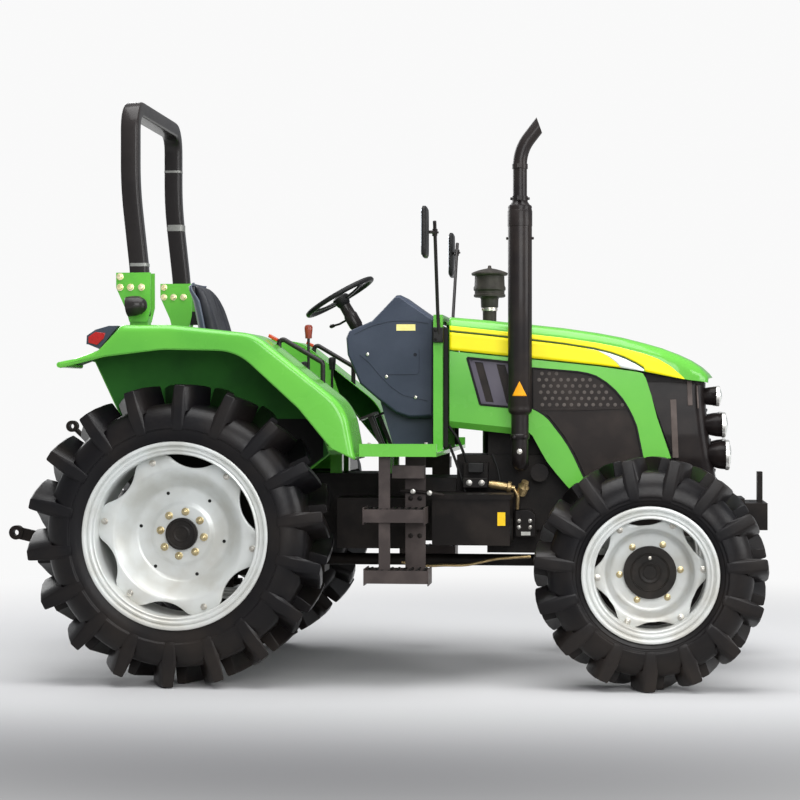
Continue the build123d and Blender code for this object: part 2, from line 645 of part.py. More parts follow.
def bent_strip(corners, depth):
    """An open run of (x, z, bend radius) corners made a strip, whose second edge lies deeper by a depth."""
    moved = []
    for k, (x, z, bend) in enumerate(corners):
        directions = []
        for a, b in ((k - 1, k), (k, k + 1)):
            if a >= 0 and b < len(corners):
                directions.append((Vector(*corners[b][:2]) - Vector(*corners[a][:2])).normalized())
        middle = sum(directions, Vector(0, 0)).normalized()
        turn = middle.dot(directions[0])
        moved.append((x - depth / turn * middle.Y, z + depth / turn * middle.X, max(bend - depth, 0)))
    return bent_outline(corners + moved[::-1])


def bent_outline(corners):
    """A closed face in the XZ plane through (x, z, bend radius) corners."""
    face = Face(Wire.make_polygon([Vector(x, z, 0) for x, z, _ in corners], close=True))
    for x, z, bend in corners:
        if bend > 0:
            vertex = face.vertices().sort_by_distance(Vector(x, z, 0))[0]
            face = fillet(vertex, bend).face()
    return Plane(origin=(0, 0, 0), x_dir=(1, 0, 0), z_dir=(0, -1, 0)) * face


def bent_plate(face, ys):
    """A face in the XZ plane thickened between two Y limits."""
    low, high = sorted(ys)
    return Pos(0, low, 0) * extrude(face, high - low, dir=(0, 1, 0))


def below_top(corners):
    """Corners whose heights are given as drops below the fender's top, made heights above the ground."""
    return [(x, FENDER_TOP_Z - drop, bend) for x, drop, bend in corners]


def fender(side):
    """Pressed fender: bent top, turned-down outer lip, and the inner wall down to the platform."""
    inner, outer = side * FENDER_INNER_Y, side * FENDER_OUTER_Y
    top = bent_plate(bent_strip(below_top(FENDER_CORNERS), SHEET), (inner, outer))
    lip_face = bent_outline(below_top(FENDER_CORNERS) + below_top(LIP_CORNERS)[::-1])
    lip = bent_plate(lip_face, (outer - side * SHEET, outer))
    wall_foot = [(-485, 1560, 0), (WALL_REAR_X, 1337, 0), (-200, 1000, 0), (560, 1000, 0), (693, FLOOR_Z, 0)]
    wall_face = bent_outline(below_top(FENDER_CORNERS)[:-1] + wall_foot)
    return top + lip + bent_plate(wall_face, (inner, inner + side * SHEET))


# ---------------------------------------------------------------- platform and steps
PLATFORM_REAR_X = 884
PLATFORM_FRONT_X = 1250
PLATFORM_HALF_WIDTH = 930
RAIL_WIDTH = 30
RAIL_TOP_Z = FLOOR_Z + 60
DECK_Z = 1290
DECK_REAR_X = -250
DECK_FRONT_X = 420
ROPS_LOW_X = -268
ROPS_LEG_HALF = 45
FOOT_HALF = 30


def platform():
    """Floor, side rails and the raised seat deck, on rubber-mounted feet over the gearbox and lift cover."""
    wide, narrow = PLATFORM_HALF_WIDTH, FENDER_INNER_Y - FIT
    rear, front = PLATFORM_REAR_X, PLATFORM_FRONT_X
    outline = [(DECK_FRONT_X, narrow), (rear, narrow), (rear, wide), (front, wide)]
    body = floor_plate([(x, -y) for x, y in outline] + outline[::-1], (FLOOR_Z, FLOOR_TOP_Z))
    body += block((DECK_FRONT_X, DECK_FRONT_X + 8), (-narrow, narrow), (FLOOR_Z, DECK_Z))
    body += block((DECK_REAR_X, DECK_FRONT_X + 8), (-narrow, narrow), (DECK_Z - 8, DECK_Z))
    for side in SIDES.values():
        rail = (side * (wide - RAIL_WIDTH), side * wide)
        body += block((rear, front), rail, (FLOOR_Z, RAIL_TOP_Z))
        # Notch for the roll bar's leg.
        notch = (side * (ROPS_Y - ROPS_LEG_HALF), side * (ROPS_Y + ROPS_LEG_HALF))
        body -= block((DECK_REAR_X - 10, -110), notch, (DECK_Z - 20, DECK_Z + 20))
        for x in (670, 930):
            foot = (side * (130 - FOOT_HALF), side * (130 + FOOT_HALF))
            body += block((x - FOOT_HALF, x + FOOT_HALF), foot, (GEARBOX_TOP_Z, FLOOR_Z))
        foot = (side * (110 - FOOT_HALF), side * (110 + FOOT_HALF))
        body += block((60, 60 + 2 * FOOT_HALF), foot, (LIFT_COVER_TOP_Z, DECK_Z))
    return body


STEP_Y = 880
STEP_DEPTH = 190
STEP_RIM = 62  # height of a tread's rim
# Treads: top height, rear edge and front edge ahead of the rear axle
TREADS = [(855, 898, 1190), (566, 902, 1208)]
LADDER_PLATE_X = (1082, 1180)
LADDER_BAR_X = (972, 1026)


def steps(side):
    """Ladder under the platform: outer hanger bar, inner plate, two framed treads and a short top one."""
    outer, inner = side * (STEP_Y + 30), side * (STEP_Y + 30 - STEP_DEPTH)
    plate = (side * (STEP_Y - 160), side * (STEP_Y - 152))
    low_z = TREADS[-1][0] - STEP_RIM
    body = block(LADDER_BAR_X, (side * STEP_Y, side * (STEP_Y + 12)), (low_z, FLOOR_Z))
    body += block(LADDER_PLATE_X, plate, (low_z, FLOOR_Z))
    for top, rear, front in TREADS:
        tread = block((rear, front), (outer, inner), (top - STEP_RIM, top))
        body += tread - block((rear + SHEET, front - SHEET), (outer - side * SHEET, inner + side * SHEET),
                              (top - STEP_RIM + SHEET, top + 1))
        body += block(LADDER_BAR_X, (side * STEP_Y, side * (STEP_Y + 12)), (top - STEP_RIM, top))
    top_step = block((1030, 1180), (side * (STEP_Y - 160), side * (STEP_Y - 40)), (1000, 1060))
    hollow = (side * (STEP_Y - 152), side * (STEP_Y - 46))
    return body + (top_step - block((1036, 1174), hollow, (1006, 1061)))


def fender_top_z(x):
    """Height of the fender's upper face over a place on its long front slope."""
    (x0, drop0, _), (x1, drop1, _) = FENDER_CORNERS[1], FENDER_CORNERS[2]
    return FENDER_TOP_Z - drop0 + (drop0 - drop1) * (x0 - x) / (x0 - x1)


RAIL_RADIUS = 12
RAIL_REAR_X = 445
RAIL_FRONT_X = 662
RAIL_RISE = 45
RAIL_LENGTH_SINK = 20


def grab_rail(side):
    """Bent tube on the fender's slope that the driver holds when climbing up."""
    y = side * (FENDER_INNER_Y + 36)
    rear_z, front_z = fender_top_z(RAIL_REAR_X), fender_top_z(RAIL_FRONT_X)
    points = [
        (RAIL_REAR_X, y, rear_z - RAIL_LENGTH_SINK),
        (RAIL_REAR_X, y, rear_z + RAIL_RISE),
        (RAIL_FRONT_X, y, front_z + 2 * RAIL_RISE),
        (RAIL_FRONT_X, y, front_z - RAIL_LENGTH_SINK),
    ]
    tube = pipe(points, RAIL_RADIUS, 20)
    # The feet end on the fender's skin.
    return tube - bent_plate(bent_outline(below_top(FENDER_CORNERS) + [(0, 1000, 0)]), (y - 40, y + 40))


# ---------------------------------------------------------------- seat
SEAT_HALF_WIDTH = 235
SEAT_PAN_Z = DECK_Z + 130


def seat_base():
    """Suspension box and slide rails between the deck and the cushion."""
    body = block((20, 330), (-150, 150), (DECK_Z, SEAT_PAN_Z - 40))
    return body + block((40, 320), (-190, 190), (SEAT_PAN_Z - 40, SEAT_PAN_Z))


def seat_cushion():
    """Moulded cushion, higher at its front edge."""
    z = SEAT_PAN_Z
    outline = [
        (-10, z), (400, z), (440, z + 40), (430, z + 130),
        (380, z + 140), (60, z + 105), (-10, z + 105),
    ]
    body = side_plate(outline, (-SEAT_HALF_WIDTH, SEAT_HALF_WIDTH))
    return fillet(body.edges().filter_by(Axis.Y), 18)


def seat_back():
    """Moulded backrest, leaning back, thicker at its foot than at its top."""
    z = SEAT_PAN_Z
    half = SEAT_HALF_WIDTH - 8
    outline = [
        (-80, z + 20), (-10, z + 20), (-10, z + 106), (62, z + 190), (78, z + 300),
        (40, z + 420), (-40, z + 548), (-106, z + 558), (-122, z + 480), (-70, z + 240),
    ]
    return side_plate(outline, (-half, half))


# ---------------------------------------------------------------- roll bar
ROPS_TUBE_X = 90
ROPS_TUBE_Y = 76
ROPS_HIGH_X = -318
ROPS_BEND_Z = (1980, 2430)  # foot and head of the leaning run of a post
ROPS_FOOT_Z = 1800
ROPS_CORNER = 120
BRACKET_TOP_Z = 2005
BRACKET_LOW_Z = 1930
BRACKET_REACH = 112
BRACKET_WALL = 12
LEG_FOOT_HALF = 60
LEG_TOP_Z = ROPS_FOOT_Z - 40  # foot of the cheeks, which are welded to the leg there


def rops():
    """Inverted U of rectangular tube, leaning back above its lower bend."""
    half_x, half_y = ROPS_TUBE_X / 2, ROPS_TUBE_Y / 2
    low, high = ROPS_LOW_X, ROPS_HIGH_X
    bend_low, bend_high = ROPS_BEND_Z
    middle = [(low, ROPS_FOOT_Z), (low, bend_low), (high, bend_high), (high, ROPS_TOP_Z)]
    front = [(x + half_x, z) for x, z in middle]
    rear = [(x - half_x, z) for x, z in middle]
    slab = side_plate(front + rear[::-1], (-ROPS_Y - half_y, ROPS_Y + half_y))

    def arch_block(half_width, top, radius):
        """A block along X whose two upper edges are rounded."""
        body = block((low - 1000, low + 1000), (-half_width, half_width), (ROPS_FOOT_Z - 10, top))
        return fillet(body.edges().filter_by(Axis.X).group_by(Axis.Z)[-1], radius)

    outer = arch_block(ROPS_Y + half_y, ROPS_TOP_Z, ROPS_CORNER)
    inner = arch_block(ROPS_Y - half_y, ROPS_TOP_Z - ROPS_TUBE_Y, ROPS_CORNER - ROPS_TUBE_Y + 10)
    return (slab & outer) - inner


def rops_bracket(side):
    """Clamp bracket round the foot of a roll-bar post, on a leg that stands on the axle trumpet."""
    post_in, post_out = side * (ROPS_Y - ROPS_TUBE_Y / 2), side * (ROPS_Y + ROPS_TUBE_Y / 2)
    x, half = ROPS_LOW_X, ROPS_LEG_HALF
    cheek = [
        (x - BRACKET_REACH, BRACKET_TOP_Z), (x + 62, BRACKET_TOP_Z), (x + 62, ROPS_FOOT_Z + 30),
        (x + half, LEG_TOP_Z), (x - half, LEG_TOP_Z), (x - 60, ROPS_FOOT_Z + 15),
        (x - BRACKET_REACH, BRACKET_LOW_Z),
    ]
    body = side_plate(cheek, (post_out, post_out + side * BRACKET_WALL))
    body += side_plate(cheek, (post_in - side * BRACKET_WALL, post_in))
    body += block((x - BRACKET_REACH, x - 57), (post_in, post_out), (BRACKET_LOW_Z, BRACKET_TOP_Z))
    trumpet_top = REAR_Z + TRUMPET_RADIUS
    leg = [
        (x - half, ROPS_FOOT_Z), (x - half, 1500), (-LEG_FOOT_HALF, trumpet_top),
        (-LEG_FOOT_HALF, REAR_Z), (LEG_FOOT_HALF, REAR_Z), (LEG_FOOT_HALF, trumpet_top),
        (x + half, 1500), (x + half, ROPS_FOOT_Z),
    ]
    body += side_plate(leg, (post_in, post_out))
    bore_ys = (post_in - side * 20, post_out + side * 20)
    body -= cross_rod(0, REAR_Z, bore_ys, TRUMPET_RADIUS + FIT)
    return body - block((-200, 200), bore_ys, (REAR_Z - 10, REAR_Z + 10))


# ---------------------------------------------------------------- console, steering and controls
CONSOLE_HALF_WIDTH = 250
PEDESTAL_HALF_WIDTH = 170
FIREWALL_THICK = 10
CONSOLE_FRONT_X = ARCH_REAR_X - FIREWALL_THICK
WHEEL_X = 667  # steering wheel's centre
WHEEL_Z = 1905
COLUMN_LEAN = 30  # degrees from upright, top towards the driver
COLUMN_RADIUS = 30
COLUMN_LENGTH = 330
SHAFT_RADIUS = 12
STEERING_RADIUS = 200
STEERING_RIM = 13


def column_point(distance):
    """A point on the steering column's axis, measured down from the steering wheel's centre."""
    a = radians(COLUMN_LEAN)
    return (WHEEL_X + distance * sin(a), 0, WHEEL_Z - distance * cos(a))


def console():
    """Moulded dash shroud with a peaked instrument hood, on its pedestal."""
    front = CONSOLE_FRONT_X
    head = [
        (front, 1280), (front, 1785), (1005, 1900), (985, 1905), (862, 1775), (742, 1722), (726, 1690),
        (735, 1600), (800, 1450), (985, 1300), (1060, 1275),
    ]
    pedestal = [
        (front, 1290), (1000, 1290), (880, 1440), (850, 1430),
        (960, FLOOR_TOP_Z), (front, FLOOR_TOP_Z),
    ]
    body = side_plate(head, (-CONSOLE_HALF_WIDTH, CONSOLE_HALF_WIDTH))
    body += side_plate(pedestal, (-PEDESTAL_HALF_WIDTH, PEDESTAL_HALF_WIDTH))
    for side in SIDES.values():
        # The hood is narrower than the shroud below it.
        body -= Pos(950, side * CONSOLE_HALF_WIDTH, 1905) * Rot(side * 38, 0, 0) * Box(600, 150, 230)
    return body - rod(column_point(-50), column_point(COLUMN_LENGTH), COLUMN_RADIUS + FIT)


def steering_wheel():
    """Rim, three spokes and a hub that turns on the column's shaft."""
    up = Vector(*column_point(-1)) - Vector(*column_point(0))
    plane = Plane(origin=column_point(0), z_dir=up, x_dir=(0, 1, 0))
    ring = STEERING_RADIUS - STEERING_RIM
    body = plane * Torus(ring, STEERING_RIM) + plane * (Pos(0, 0, -5) * Cylinder(42, 42))
    for angle in (90, 210, 330):
        body += plane * (Rot(0, 0, angle) * Pos(ring / 2, 0, -4) * Box(ring, 26, 10))
    return body - rod(column_point(10), column_point(50), SHAFT_RADIUS + RUN)


PEDAL_YS = (-210, -120, 210)
# Levers: foot and knob ahead of the rear axle, top of the knob, and side offset
LEVERS = [(572, 572, 1742, -460), (540, 548, 1560, -430), (560, 566, 1600, 440)]


def controls():
    """Steering column and its shaft, the pedals in front of the pedestal, and the hand levers by the seat."""
    column = rod(column_point(46), column_point(COLUMN_LENGTH), COLUMN_RADIUS)
    column += rod(column_point(11), column_point(46), SHAFT_RADIUS)
    pieces = [column]
    for y in PEDAL_YS:
        stem = [(905, FLOOR_TOP_Z), (925, FLOOR_TOP_Z), (858, 1294), (838, 1286)]
        pad = [(800, 1268), (880, 1300), (876, 1312), (796, 1280)]
        pieces.append(side_plate(stem, (y - 9, y + 9)) + side_plate(pad, (y - 38, y + 38)))
    for foot_x, knob_x, top, y in LEVERS:
        lever = block((foot_x - 16, foot_x + 16), (y - 16, y + 16), (FLOOR_TOP_Z, FLOOR_TOP_Z + 8))
        lever += rod((foot_x, y, FLOOR_TOP_Z + 3), (knob_x, y, top - 40), 7)
        pieces.append(lever + upright_rod(knob_x, y, (top - 60, top), 15))
    return pieces


# ---------------------------------------------------------------- hoop, mirrors and rear lamps
ARCH_FRONT_X = 1236
ARCH_HALF_WIDTH = 420
ARCH_POST_WIDTH = 50
ARCH_BAR_DEPTH = 30
HINGE_X = 1262
HINGE_Z = 1762
HINGE_PIN_RADIUS = 6
HINGE_EAR_HALF = 8
ARCH_EAR_YS = (130, 142)
BONNET_EAR_YS = (150, 164)
BONNET_EAR_RADIUS = 12


def arch():
    """Hoop on the platform in front of the station; the bonnet hinges on it and it carries the mirrors."""
    xs = (ARCH_REAR_X, ARCH_FRONT_X)
    half = ARCH_HALF_WIDTH
    body = block(xs, (-half, half), (ARCH_TOP_Z - ARCH_BAR_DEPTH, ARCH_TOP_Z))
    for side in SIDES.values():
        body += block(xs, (side * (half - ARCH_POST_WIDTH), side * half), (FLOOR_TOP_Z, ARCH_TOP_Z))
        # Ear and pin of the bonnet's hinge.
        near, far = (side * y for y in ARCH_EAR_YS)
        ear = (HINGE_Z - HINGE_EAR_HALF, HINGE_Z + HINGE_EAR_HALF)
        body += block((ARCH_FRONT_X - 5, HINGE_X), (near, far), ear)
        body += cross_rod(HINGE_X, HINGE_Z, (near, far), HINGE_EAR_HALF)
        body += cross_rod(HINGE_X, HINGE_Z, (near, side * (BONNET_EAR_YS[1] + 8)), HINGE_PIN_RADIUS)
    return body


MIRROR_Y = 800
MIRROR_HALF_WIDTH = 90
MIRROR_Z = (2050, 2295)
MIRROR_CLAMP_Z = (1640, 1760)
STALK_X = 1214
STALK_TOP_Z = 2232
STALK_RADIUS = 9


def mirror(side):
    """Mirror on a stalk that leans outward from its clamp on the hoop."""
    foot_y, top_y = side * (ARCH_HALF_WIDTH + 12), side * (MIRROR_Y - MIRROR_HALF_WIDTH)
    clamp_low, clamp_high = MIRROR_CLAMP_Z
    bend_z = clamp_high + 40
    points = [(STALK_X, foot_y, clamp_low), (STALK_X, foot_y, bend_z), (STALK_X, top_y, STALK_TOP_Z)]
    body = pipe(points, STALK_RADIUS, 60)
    clamp = (side * ARCH_HALF_WIDTH, side * (ARCH_HALF_WIDTH + 28))
    body += block((STALK_X - 22, STALK_X + 22), clamp, (clamp_low, clamp_high))
    half = MIRROR_HALF_WIDTH
    head = block((STALK_X - 42, STALK_X - 12), (side * (MIRROR_Y - half), side * (MIRROR_Y + half)), MIRROR_Z)
    body += fillet(head.edges().filter_by(Axis.X), 30)
    arm_z = STALK_TOP_Z - 50
    share = (arm_z - bend_z) / (STALK_TOP_Z - bend_z)
    arm_y = foot_y + (top_y - foot_y) * share
    return body + rod((STALK_X, arm_y, arm_z), (STALK_X - 20, top_y + side * 30, arm_z), STALK_RADIUS)


LAMP_YS = (640, 900)
WORK_LAMP_RADIUS = 50
WORK_LAMP_Z = 1838


def rear_lamps():
    """Tail-lamp clusters in the notches of the fender tails, and the round work lamp by the right post."""
    pieces = []
    (top_x, top_drop, _), (low_x, low_drop, _), (tail_x, tail_drop, _) = FENDER_CORNERS[-3:]
    rear_x = -440
    share = (rear_x - low_x) / (tail_x - low_x)
    seat_z = FENDER_TOP_Z - (low_drop + (tail_drop - low_drop) * share)
    outline = [
        (top_x - 6, FENDER_TOP_Z - 1), (-325, FENDER_TOP_Z), (rear_x, 1684), (rear_x, seat_z + FIT),
        (low_x, FENDER_TOP_Z - low_drop + 40),
    ]
    skin = bent_outline(below_top(FENDER_CORNERS) + [(0, 1000, 0)])
    for side in SIDES.values():
        ys = [side * y for y in LAMP_YS]
        pieces.append(side_plate(outline, ys) - bent_plate(skin, (ys[0] - side * 5, ys[1] + side * 5)))
    plate_y = -(ROPS_Y + ROPS_TUBE_Y / 2 + BRACKET_WALL)
    lamp_y = plate_y - WORK_LAMP_RADIUS - 12
    x, z = ROPS_LOW_X, WORK_LAMP_Z
    lamp = lengthwise_rod((x - 55, x + 40), lamp_y, z, WORK_LAMP_RADIUS)
    pieces.append(lamp + block((x - 12, x + 12), (plate_y - 40, plate_y), (z - 12, z + 12)))
    return pieces


def make_station():
    both = SIDES.values()
    for name, side in SIDES.items():
        keep(f"fender_{name}", fender(side))
    keep("platform", platform())
    keep("steps", *[steps(side) for side in both])
    keep("grab_rails", *[grab_rail(side) for side in both])
    keep("seat_base", seat_base())
    keep("seat_cushion", seat_cushion())
    keep("seat_back", seat_back())
    keep("rops", rops())
    keep("rops_brackets", *[rops_bracket(side) for side in both])
    keep("console", console())
    keep("steering_wheel", steering_wheel())
    keep("controls", *controls())
    keep("arch", arch())
    keep("mirrors", *[mirror(side) for side in both])
    keep("rear_lamps", *rear_lamps())


# ---------------------------------------------------------------- boxes beside the transmission
# Boxes: rear and front ahead of the rear axle, inner and outer offset, and floor
BOXES = [(1200, 1578, 240, 610, 667), (720, 1070, 240, 500, 642)]
BOX_TOP_Z = 890
BOX_LID = 24
BOX_LID_LAP = 7


def side_boxes():
    """Battery box and tanks hung on both sides of the castings, the front ones under a lid."""
    pieces = []
    for side in SIDES.values():
        for rear, front, inner, outer, floor in BOXES:
            near, far = side * inner, side * outer
            body = block((rear, front), (near, far), (floor, BOX_TOP_Z))
            if rear > CLUTCH_REAR_X:
                lap = BOX_LID_LAP
                lid_zs = (BOX_TOP_Z, BOX_TOP_Z + BOX_LID)
                body += block((rear - lap, front + lap), (near, far + side * lap), lid_zs)
                body += block((rear + 280, rear + 320), (side * 200, near), (740, 860))
            else:
                body += block((rear + 60, rear + 120), (side * GEARBOX_HALF_WIDTH, near), (700, 860))
            pieces.append(body)
    return pieces


# ---------------------------------------------------------------- bonnet, side panels and grille
# Bonnet sections from the rear forward: distance ahead of the rear axle, half width, top height, seam height
BONNET_SECTIONS = [
    (HINGE_X, BONNET_HALF_WIDTH, 1788, 1622),
    (1650, BONNET_HALF_WIDTH - 14, 1752, 1582),
    (2000, BONNET_HALF_WIDTH - 28, 1706, 1546),
    (2230, BONNET_HALF_WIDTH - 39, 1656, 1512),
    (2400, BONNET_HALF_WIDTH - 55, 1596, 1476),
    (2500, BONNET_HALF_WIDTH - 83, 1534, 1466),
    (2546, BONNET_HALF_WIDTH - 119, 1480, 1460),
]
BONNET_CORNER = 70
PANEL_THICK = 14
PANEL_REAR = (HINGE_X, BONNET_HALF_WIDTH)  # distance ahead of the rear axle, and half width there
PANEL_FRONT = (2360, BONNET_HALF_WIDTH - 45)


def bonnet_section(x, half, top, seam, inset):
    """One upright section of the bonnet: a rounded top on straight sides."""
    corner = min(BONNET_CORNER, (top - seam) * 0.8)
    half, top = half - inset, top - inset
    with BuildSketch(Plane(origin=(x, 0, 0), x_dir=(0, 1, 0), z_dir=(1, 0, 0))) as sketch:
        with BuildLine():
            Line((-half, seam), (-half, top - corner))
            CenterArc((-half + corner, top - corner), corner, 90, 90)
            Line((-half + corner, top), (half - corner, top))
            CenterArc((half - corner, top - corner), corner, 0, 90)
            Line((half, top - corner), (half, seam))
            Line((half, seam), (-half, seam))
        make_face()
    return sketch.sketch


def bonnet():
    """Sheet bonnet over the engine, closed at its nose, with its hinge ears under the rear edge."""
    outer = loft([bonnet_section(*row, 0) for row in BONNET_SECTIONS], ruled=True)
    inner_rows = [(x, half, top, seam - 1) for x, half, top, seam in BONNET_SECTIONS[:-1]]
    inner_rows[0] = (HINGE_X - 1, *inner_rows[0][1:])
    shell = outer - loft([bonnet_section(*row, SHEET) for row in inner_rows], ruled=True)
    skin_z = BONNET_SECTIONS[0][2] - SHEET
    for side in SIDES.values():
        ys = [side * y for y in BONNET_EAR_YS]
        ear = cross_rod(HINGE_X, HINGE_Z, ys, BONNET_EAR_RADIUS)
        ear += block((HINGE_X, HINGE_X + 30), ys, (HINGE_Z, skin_z + 1))
        shell += ear
        shell -= cross_rod(HINGE_X, HINGE_Z, (ys[0] - side, ys[1] + side), HINGE_PIN_RADIUS + RUN)
    return shell


# Corners of the side panel under the bonnet's seam, one leg before and one behind the screen
PANEL_OUTLINE = [
    (1264, 1616), (1675, 1574), (2000, 1540), (2230, 1506), (2262, 1400), (2290, 1290), (2360, 1084),
    (2222, 1080), (2190, 1240), (2150, 1330), (2084, 1420), (1990, 1490), (1900, 1512), (1676, 1532),
    (1676, 1330), (1750, 1285), (1823, 1194), (1880, 1100), (1934, 984), (1864, 926), (1800, 1000),
    (1750, 1064), (1676, 1196), (1576, 1203), (1264, 1236),
]
# Corners of the screen seen through the panel's opening
SCREEN_OUTLINE = [
    (1670, 1538), (1900, 1518), (1996, 1496), (2092, 1424), (2160, 1332), (2198, 1240), (2232, 1076),
    (1990, 960), (1934, 984), (1884, 1100), (1826, 1196), (1754, 1288), (1670, 1334),
]
LOUVRE_PLATE = [(1345, 1590), (1650, 1560), (1650, 1322), (1410, 1342)]
LOUVRE_OUTLINE = [(1352, 1583), (1640, 1552), (1640, 1330), (1417, 1350)]
LOUVRE_THICK = 8
CARRIER_X = (2190, 2225)
CARRIER_Z = (1472, 1500)


def panel_half_width(x):
    """Half width over the panels at a distance ahead of the rear axle."""
    (x0, w0), (x1, w1) = PANEL_REAR, PANEL_FRONT
    return w0 + (w1 - w0) * (x - x0) / (x1 - x0)


def panel_slab(side, outline, inset, thickness):
    """A plate that follows the tapering side of the bonnet, cut to an outline seen from the side."""
    x0, x1 = 1200, 2450
    corners = [(x, side * (panel_half_width(x) - inset)) for x in (x0, x1)]
    corners += [(x, side * (panel_half_width(x) - inset - thickness)) for x in (x1, x0)]
    return floor_plate(corners, (800, 1700)) & side_plate(outline, (side * 200, side * 450))


def side_panel(side):
    """Green side panel with its louvre opening."""
    opening = panel_slab(side, LOUVRE_OUTLINE, -20, PANEL_THICK + 40)
    return panel_slab(side, PANEL_OUTLINE, 0, PANEL_THICK) - opening


def screens(side):
    """Perforated screen in the panel's opening, and the dark louvre behind the rear vent."""
    screen = panel_slab(side, SCREEN_OUTLINE, 8, 6) - panel_slab(side, PANEL_OUTLINE, 0, PANEL_THICK)
    return screen, panel_slab(side, LOUVRE_PLATE, PANEL_THICK, LOUVRE_THICK)


def bay_frame():
    """Firewall behind the engine, and the frame that the side panels are screwed to."""
    firewall = block((CONSOLE_FRONT_X, ARCH_REAR_X), (-370, 370), (FLOOR_TOP_Z, 1760))
    body = block((HINGE_X, HINGE_X + 28), (-320, 320), (1560, 1600))
    rail = [(HINGE_X, 1600), (CARRIER_X[1], 1502), (CARRIER_X[1], 1472), (HINGE_X, 1560)]
    for side in SIDES.values():
        body += panel_slab(side, rail, PANEL_THICK, 24)
        body -= panel_slab(side, LOUVRE_PLATE, PANEL_THICK - 1, LOUVRE_THICK + 1)
        body += block(CARRIER_X, (side * 140, side * 285), CARRIER_Z)
        body += block(CARRIER_X, (side * 120, side * 150), (SUPPORT_TOP_Z, CARRIER_Z[1]))
    return firewall, body + block(CARRIER_X, (-150, 150), CARRIER_Z)


# Grille sections from the top down: height, distance of the rear and the front ahead of the axle, half width
GRILLE_SECTIONS = [
    (1452, 2240, 2532, 222),
    (1330, 2285, 2536, 238),
    (1200, 2330, 2550, 245),
    (1085, 2375, 2568, 245),
    (968, 2520, 2586, 226),
]
GRILLE_CORNER = 60
GRILLE_WALL = 14
# Three stacked lamps on each side: front ahead of the rear axle, side offset, height, radius
LAMPS = [(2612, 166, 1392, 48), (2640, 176, 1248, 61), (2658, 178, 1098, 73)]
LAMP_DEPTH = 118


def grille_section(z, rear, front, half):
    """One level section of the nose, flared at its rear and with cut front corners."""
    corner = GRILLE_CORNER
    outline = [
        (rear, -half - 50), (front - corner, -half), (front, corner - half),
        (front, half - corner), (front - corner, half), (rear, half + 50),
    ]
    return Wire.make_polygon([Vector(x, y, z) for x, y in outline], close=True)


def lamp_drums(grow):
    """The lamps' drums, made larger by a fit where they are cut out of the grille."""
    drums = []
    for side in SIDES.values():
        for x, y, z, radius in LAMPS:
            drums.append(lengthwise_rod((x - LAMP_DEPTH - grow, x), side * y, z, radius + grow))
    return drums


def grille():
    """Black nose shell with its grille face, narrowing a little towards the top and the bottom."""
    wall = GRILLE_WALL
    hollow = [(z, rear - 30, front - wall, half - wall) for z, rear, front, half in GRILLE_SECTIONS]
    hollow[0] = (GRILLE_SECTIONS[0][0] + 8, *hollow[0][1:])
    hollow[-1] = (GRILLE_SECTIONS[-1][0] + wall, *hollow[-1][1:])
    shell = Solid.make_loft([grille_section(*row) for row in GRILLE_SECTIONS], ruled=True)
    shell -= Solid.make_loft([grille_section(*row) for row in hollow], ruled=True)
    for drum in lamp_drums(FIT):
        shell -= drum
    return shell + block((2535, 2575), (-100, 100), (SUPPORT_TOP_Z, hollow[-1][0]))


STACK_X = 1620
STACK_Y = -450
STACK_ELBOW_Z = 1060
SILENCER_Z = (1315, 2328)
SILENCER_RADIUS = 59
TAIL_RADIUS = 35
TAIL_BEND_Z = 2600
TAIL_END = (STACK_X + 100, 2726)
CLAMP_HEIGHT = 24


def exhaust():
    """Outside exhaust: elbow off the engine, neck, long round silencer, pipe, clamps and bent tip."""
    x, y = STACK_X, STACK_Y
    low, high = SILENCER_Z
    body = pipe([(x, -200, STACK_ELBOW_Z), (x, y, STACK_ELBOW_Z), (x, y, low + 25)], 42, 80)
    body += upright_rod(x, y, SILENCER_Z, SILENCER_RADIUS)
    body += pipe([(x, y, high - 8), (x, y, TAIL_BEND_Z), (TAIL_END[0], y, TAIL_END[1])], TAIL_RADIUS, 90)
    for z in (high + 22, TAIL_BEND_Z - 80):
        body += upright_rod(x, y, (z, z + CLAMP_HEIGHT), TAIL_RADIUS + 4)
    return body


CLEANER_X = 1420
CLEANER_Y = 455
CLEANER_ELBOW_Z = 1045
BOWL_Z = (1926, 2050)


def precleaner():
    """Air pre-cleaner beside the bonnet: elbow off the engine, stem, bowl and wide cap."""
    x, y = CLEANER_X, CLEANER_Y
    elbow = [(x, 200, CLEANER_ELBOW_Z), (x, y, CLEANER_ELBOW_Z), (x, y, BOWL_Z[0] + 9)]
    body = pipe(elbow, 37, 80) + upright_rod(x, y, BOWL_Z, 80)
    return body + upright_rod(x, y, (BOWL_Z[1] - 5, BOWL_Z[1] + 44), 96)


def make_bonnet():
    both = SIDES.values()
    keep("side_boxes", *side_boxes())
    keep("bonnet", bonnet())
    keep("side_panels", *[side_panel(side) for side in both])
    keep("bay_frame", *bay_frame())
    keep("side_screens", *[piece for side in both for piece in screens(side)])
    keep("grille", grille())
    keep("headlamps", *lamp_drums(0))
    keep("exhaust", exhaust())
    keep("precleaner", precleaner())


def main():
    make_wheels()
    make_drive_line()
    make_front_end()
    make_station()
    make_bonnet()
    os.makedirs("parts", exist_ok=True)
    for name, shape in PARTS.items():
        export_step(shape, f"parts/{name}.step")


main()
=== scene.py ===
from math import cos, pi, radians, sin, tan

